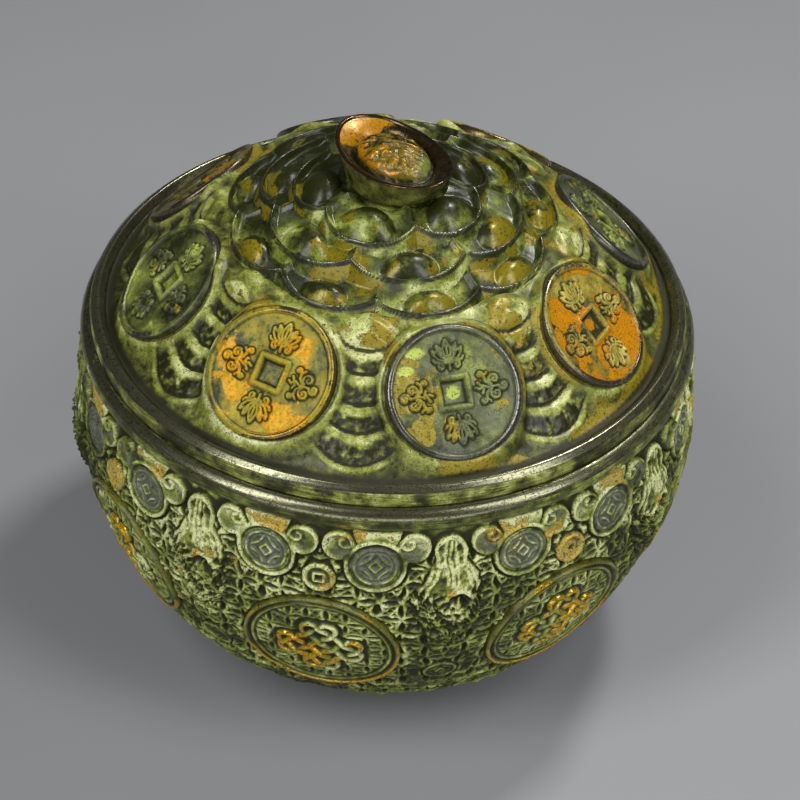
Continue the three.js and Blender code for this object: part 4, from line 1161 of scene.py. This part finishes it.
# ---------------------------------------------------------------- finial ingot
def make_finial():
    turn = math.radians(-50.0)
    ex, ey = np.array([math.cos(turn), math.sin(turn), 0]), np.array([-math.sin(turn), math.cos(turn), 0])
    La, Lb, base = 13.4, 8.6, 100.7
    cols = 240
    al = np.linspace(0, 2 * np.pi, cols, endpoint=False)[None]
    ca, sa = np.cos(al), np.sin(al)
    end = np.abs(ca) ** 2.2
    rim_z = 106.3 + 0.9 * end
    rows = []
    # hull: from the stem out to the lip
    for t in np.linspace(0.0, 1.0, 22):
        k = 0.68 + 0.32 * t**0.9
        kb = 0.96 + 0.04 * t
        rows.append((La * k, Lb * kb, t, 0.0, 0))
    hull = [(a * ca, b * sa, base + (rim_z - base) * t**1.2, 0 * ca + 0.0, 0 * ca + t) for a, b, t, _, _ in rows]
    lip = []
    for w in np.linspace(15, 165, 7):
        o = 0.42 * math.cos(math.radians(w))
        u = 0.34 * math.sin(math.radians(w))
        lip.append(((La + o) * ca, (Lb + o) * sa, rim_z + u, 0 * ca + 1.0, 0 * ca + 1.0))
    inside = []
    for t in np.linspace(0.03, 1.0, 44):
        k = 1.0 - t
        a, b = (La - 0.4) * k, (Lb - 0.4) * k
        x, y = a * ca, b * sa
        bowl = rim_z - (rim_z - 104.3) * smooth(0.0, 0.55, t + 0 * ca) ** 0.8
        ed = np.hypot(x / 8.4, y / 6.1)
        egg = np.sqrt(np.clip(1 - ed**2, 0, 1))
        z = bowl - 0.4 * np.exp(-(((ed - 1.04) / 0.10) ** 2)) + 4.1 * egg
        inside.append((x, y, z, 0 * ca + 2.0, ed + 0 * ca))
    parts = hull + lip + inside[:-1]
    x = np.vstack([p[0] for p in parts])
    y = np.vstack([p[1] for p in parts])
    z = np.vstack([p[2] for p in parts])
    kind = np.vstack([p[3] for p in parts])
    par = np.vstack([p[4] for p in parts])
    on_egg = (kind == 2) & (par < 1.0)
    q = np.stack([x, y, 0 * x], -1)
    # worn lumps cast into the egg
    wx, wy = x * ex[0] + y * ey[0], x * ex[1] + y * ey[1]
    rowy = wy + 0.25 * wx + 0.6 * (vnoise(np.stack([wx * 0.5, wy * 0.5, 0 * x], -1), 17) - 0.5)
    rowed = 0.5 + 0.5 * np.cos(2 * np.pi * rowy / 1.25)
    broken = smooth(0.3, 0.6, vnoise(np.stack([wx * 0.7, np.round(rowy / 1.25) * 3.3, 0 * x], -1), 19))
    lump = np.abs(vnoise(np.stack([wx * 0.55, wy * 0.9, 0 * x + 3.1], -1), 7) - 0.5) * 2 + 0.6 * np.abs(vnoise(np.stack([wx * 1.3, wy * 1.5, 0 * x], -1), 9) - 0.5)
    top_half = smooth(-0.8, 1.2, wy)
    tex = smooth(0.98, 0.75, par) * on_egg
    z = z + tex * (top_half * (0.55 * rowed * broken - 0.1) + (1 - top_half) * (0.7 * lump - 0.2 + 0.18 * rowed))
    z = z + (fbm(q, 3.0, 131, 2) - 0.5) * 0.2
    P = x[..., None] * ex + y[..., None] * ey + np.stack([0 * z, 0 * z, z], -1)
    conv = (z - blur(z, 3.0, 2.0, True)) / 0.3
    spots = fbm(P, 2.6, 133, 3)
    patch = fbm(P, 6.0, 135, 3)
    inside_m = (kind == 2) * 1.0
    tip = smooth(0.40, 0.85, -x / La)
    green = on_egg * smooth(2.8, 6.2, wx) * smooth(1.0, -2.5, wy) * 0.85
    gold = np.where(kind == 2, np.where(par < 1.0, 0.24 - 0.14 * top_half - 0.45 * green + 1.2 * (patch - 0.5) + 0.25 * np.clip(conv, -1, 1), 0.16 + 0.9 * tip + 0.7 * (patch - 0.5)), 0.14 + 1.6 * (patch - 0.5))
    lime = np.where(kind == 0, 0.40 + 1.0 * (spots - 0.5), 0.10 + 0.75 * green + 0.6 * (spots - 0.5))
    dark = np.where(kind == 1, 0.75, np.where(kind == 2, -0.05 + 0.72 * (1 - tip) * (par > 1.02) - 0.4 * green + 0.3 * (0.5 - spots), -0.1 + 0.4 * (0.5 - patch)))
    # painted shade in the egg's crevices and in the groove round the egg, and on the next line low on the hull where it
    # meets the heap
    deep = np.where(on_egg, np.clip(-(1.0 + 0.4 * top_half) * conv, 0, 1), 0) + np.where(kind == 2, 0.5 * np.exp(-(((par - 1.04) / 0.1) ** 2)), 0)
    deep = np.where(kind == 0, 0.6 * smooth(0.3, 0.0, par), deep)
    steel = np.where(on_egg, 0.84 - 0.36 * top_half - 1.0 * green + 0.9 * (spots - 0.5) + 0.3 * np.clip(conv, -1, 1), 0.0)
    zero = 0 * lime
    ob = lathe("finial_boat", P, dict(lime=lime, deep=deep, dark=dark, gold=gold, band=zero, prof=zero, steel=steel), (0, 0, base - 0.2), (0, 0, float(z[-1].mean())))
    stud = turned("finial_stud", bevelled([(0, 88.0), (2.2, 88.0), (2.5, 88.3), (2.5, 101.8), (0, 101.8)], 0.3), 40)
    for o in (ob,):
        dress(o, "finial_gilt", "lid", "finial_ingot")
    dress(stud, "fixing_brass", "lid")
    return ob


make_finial()


# ---------------------------------------------------------------- hidden parts
def plain_attrs(P, prof):
    z = np.zeros(P.shape[:2])
    sp = fbm(P, 5.0, 151, 3)
    return dict(lime=0.1 + 0.8 * (sp - 0.5), deep=z, dark=0.55 + 0.4 * (sp - 0.5), gold=z - 0.1, band=z + 1.0, prof=z + prof[:, 1:])


def loop(points, c):
    """A closed (r, z) polygon, all corners rounded."""
    p = [tuple(q) for q in points]
    b = bevelled([p[-1]] + p + [p[0]], c)
    return b[1:-1]


foot = turned("foot_turned", even(loop([(31.0, 0.0), (38.0, 0.0), (38.0, 2.2), (37.2, 3.9), (31.6, 3.9), (31.0, 3.0)], 0.45), 0.5), 240, plain_attrs)
dress(foot, "patina_bronze", "bowl", "foot_ring")


def make_liner():
    outer = through([(4, 8.0), (20, 8.02), (33, 8.3), (39.5, 11.3), (45.8, 18.0), (51.0, 30), (52.6, 41), (52.8, 58.6)], 1.4)
    lip = np.array([(52.85, 59.7), (53.1, 60.2), (53.6, 60.45), (54.0, 60.6), (54.25, 61.0), (54.05, 61.45), (53.5, 61.6), (52.4, 61.5), (51.8, 61.2), (51.55, 60.5)])
    inner = through([(51.5, 58.6), (51.4, 41), (49.8, 30.4), (44.8, 18.8), (38.9, 12.4), (32.6, 9.5), (20, 9.22), (4, 9.2)], 1.4)
    prof = joined([(0, 8.0)], outer, lip, inner, [(0, 9.2)])
    return dress(turned("ash_pan", prof, 220), "liner_copper", "liner", "ash_liner")


make_liner()


def make_mat():
    cols = 220
    top = joined(even(np.array([(31.6, 9.75), (32.2, 10.4), (32.25, 11.6), (31.7, 12.4)]), 0.4), even(np.array([(31.6, 12.5), (17.0, 12.62)]), 0.8), even(np.array([(16.8, 12.6), (1.0, 12.58)]), 0.8))
    ph = np.linspace(0, 2 * np.pi, cols, endpoint=False)[None]
    base = polar(top[:, :1] + 0 * ph, ph + 0 * top[:, :1], top[:, 1:])
    n = (fbm(base, 1.6, 161, 3) - 0.5) * 0.22
    free = smooth(17.0, 19.0, top[:, :1])
    P = base + np.stack([0 * n, 0 * n, n * free], -1)
    P[:3] = base[:3]
    return dress(lathe("fibre_mat", P, None, (0, 0, 9.72), (0, 0, 12.58)), "fire_mat", "liner", "fire_mat")


make_mat()


def make_stand():
    dish = joined([(1.5, 13.0)], even(loop([(1.5, 13.0), (15.2, 13.0), (16.0, 13.8), (16.0, 15.9), (15.2, 16.0), (14.9, 14.6), (13.8, 14.4), (4.6, 14.4), (4.2, 14.8), (4.0, 17.6), (3.4, 18.0), (1.5, 18.0)], 0.35), 0.3))
    dress(turned("incense_dish", dish[1:], 160), "stand_brass", "incense_stand", "incense_plate")
    pin = np.array([(0, 13.2), (0.9, 13.2), (1.2, 13.5), (1.2, 22.5), (1.12, 23.0), (0.75, 25.5), (0.34, 27.4), (0.12, 27.9), (0, 28.0)])
    dress(turned("incense_needle", pin, 32), "stand_brass", "incense_stand", "incense_pin")


make_stand()


def make_fixings():
    wash = loop([(2.9, 92.1), (6.0, 92.1), (6.0, 92.9), (2.9, 92.9)], 0.18)
    dress(turned("finial_washer_part", wash, 64), "fixing_brass", "lid", "finial_washer")
    lo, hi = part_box("finial_nut")
    z0, z1 = lo[2] / MM, hi[2] / MM
    cols = 96
    al = np.linspace(0, 2 * np.pi, cols, endpoint=False)
    hexr = 4.0 / np.cos((al + np.pi / 6) % (np.pi / 3) - np.pi / 6)
    rows = []
    for r, z in ((2.6, z0 + 0.5), (2.9, z0 + 0.05), (3.75, z0), (9, z0 + 0.35), (9, z1 - 0.35), (3.75, z1), (2.9, z1 - 0.05), (2.6, z1 - 0.5)):
        rad = hexr if r > 8 else np.minimum(hexr, r)
        rows.append(np.stack([rad * np.cos(al), rad * np.sin(al), np.full(cols, z)], -1))
    dress(lathe("finial_nut_part", np.array(rows), closed=True), "fixing_brass", "lid", "finial_nut")


make_fixings()


# ---------------------------------------------------------------- camera, floor and light
scene = bpy.context.scene
cam_data = bpy.data.cameras.new("camera")
cam = bpy.data.objects.new("camera", cam_data)
scene.collection.objects.link(cam)
fwd = np.array([0.00694635, 0.75860521, -0.65151353])
up = np.array([0.0, 0.65152925, 0.75862352])
right = np.array([0.99997587, -0.00526967, 0.00452575])
roll = math.radians(2.032)
X = math.cos(roll) * right + math.sin(roll) * up
Y = math.cos(roll) * up - math.sin(roll) * right
m = Matrix.Identity(4)
for i in range(3):
    m[i][0], m[i][1], m[i][2] = X[i], Y[i], -fwd[i]
m.translation = Vector((0.0, -0.33193, 0.25987 + 0.0712))
cam.matrix_world = m
cam_data.sensor_width = 36.0
cam_data.lens = 2134.57 / 800 * 36.0
cam_data.clip_start = 0.01
scene.camera = cam


def floor_material():
    g = Graph("studio_floor")
    n = g.noise(6.0, 3.0, 0.5)
    col = g.mix(g.step(n, 0.3, 0.7), (0.29, 0.295, 0.315), (0.305, 0.31, 0.33))
    return g.finish(colour=col, rough=0.8, metal=0.0, spec=0.2)


def make_floor():
    k, s = 24, 3.0
    t = np.linspace(-s, s, k) / MM
    gx, gy = np.meshgrid(t, t, indexing="ij")
    idx = np.arange(k * k).reshape(k, k)
    quads = np.stack([idx[:-1, :-1], idx[1:, :-1], idx[1:, 1:], idx[:-1, 1:]], -1).reshape(-1, 4)
    ob = mesh_object("studio_floor", np.stack([gx, gy, 0 * gx], -1).reshape(-1, 3), quads)
    ob.data.materials.append(floor_material())


make_floor()


def softbox(name, at, target, size, watts, colour=(1, 1, 1)):
    d = bpy.data.lights.new(name, "AREA")
    d.shape = "RECTANGLE"
    d.size, d.size_y = size
    d.energy = watts
    d.color = colour
    o = bpy.data.objects.new(name, d)
    scene.collection.objects.link(o)
    o.location = at
    o.rotation_euler = (Vector(target) - Vector(at)).to_track_quat("-Z", "Y").to_euler()


MID = (0.0, 0.0, 0.07)
softbox("left", (-0.400, -0.330, 0.614), MID, (0.20, 0.60), 3.05, (1.0, 0.99, 0.97))
softbox("right", (0.440, -0.294, 0.600), MID, (0.20, 0.60), 2.70, (1.0, 0.99, 0.97))
softbox("front", (0.0, -0.85, 0.22), MID, (1.40, 0.30), 3.0, (1.0, 0.99, 0.97))
softbox("back", (0.290, 0.300, 0.748), MID, (0.13, 0.13), 3.4, (1.0, 0.985, 0.95))

world = bpy.data.worlds.new("studio")
scene.world = world
world.use_nodes = True
bg = world.node_tree.nodes["Background"]
bg.inputs[0].default_value = (0.90, 0.90, 0.88, 1.0)
bg.inputs[1].default_value = 0.05

scene.view_settings.view_transform = "Standard"
scene.view_settings.look = "None"
scene.view_settings.exposure = 0.0
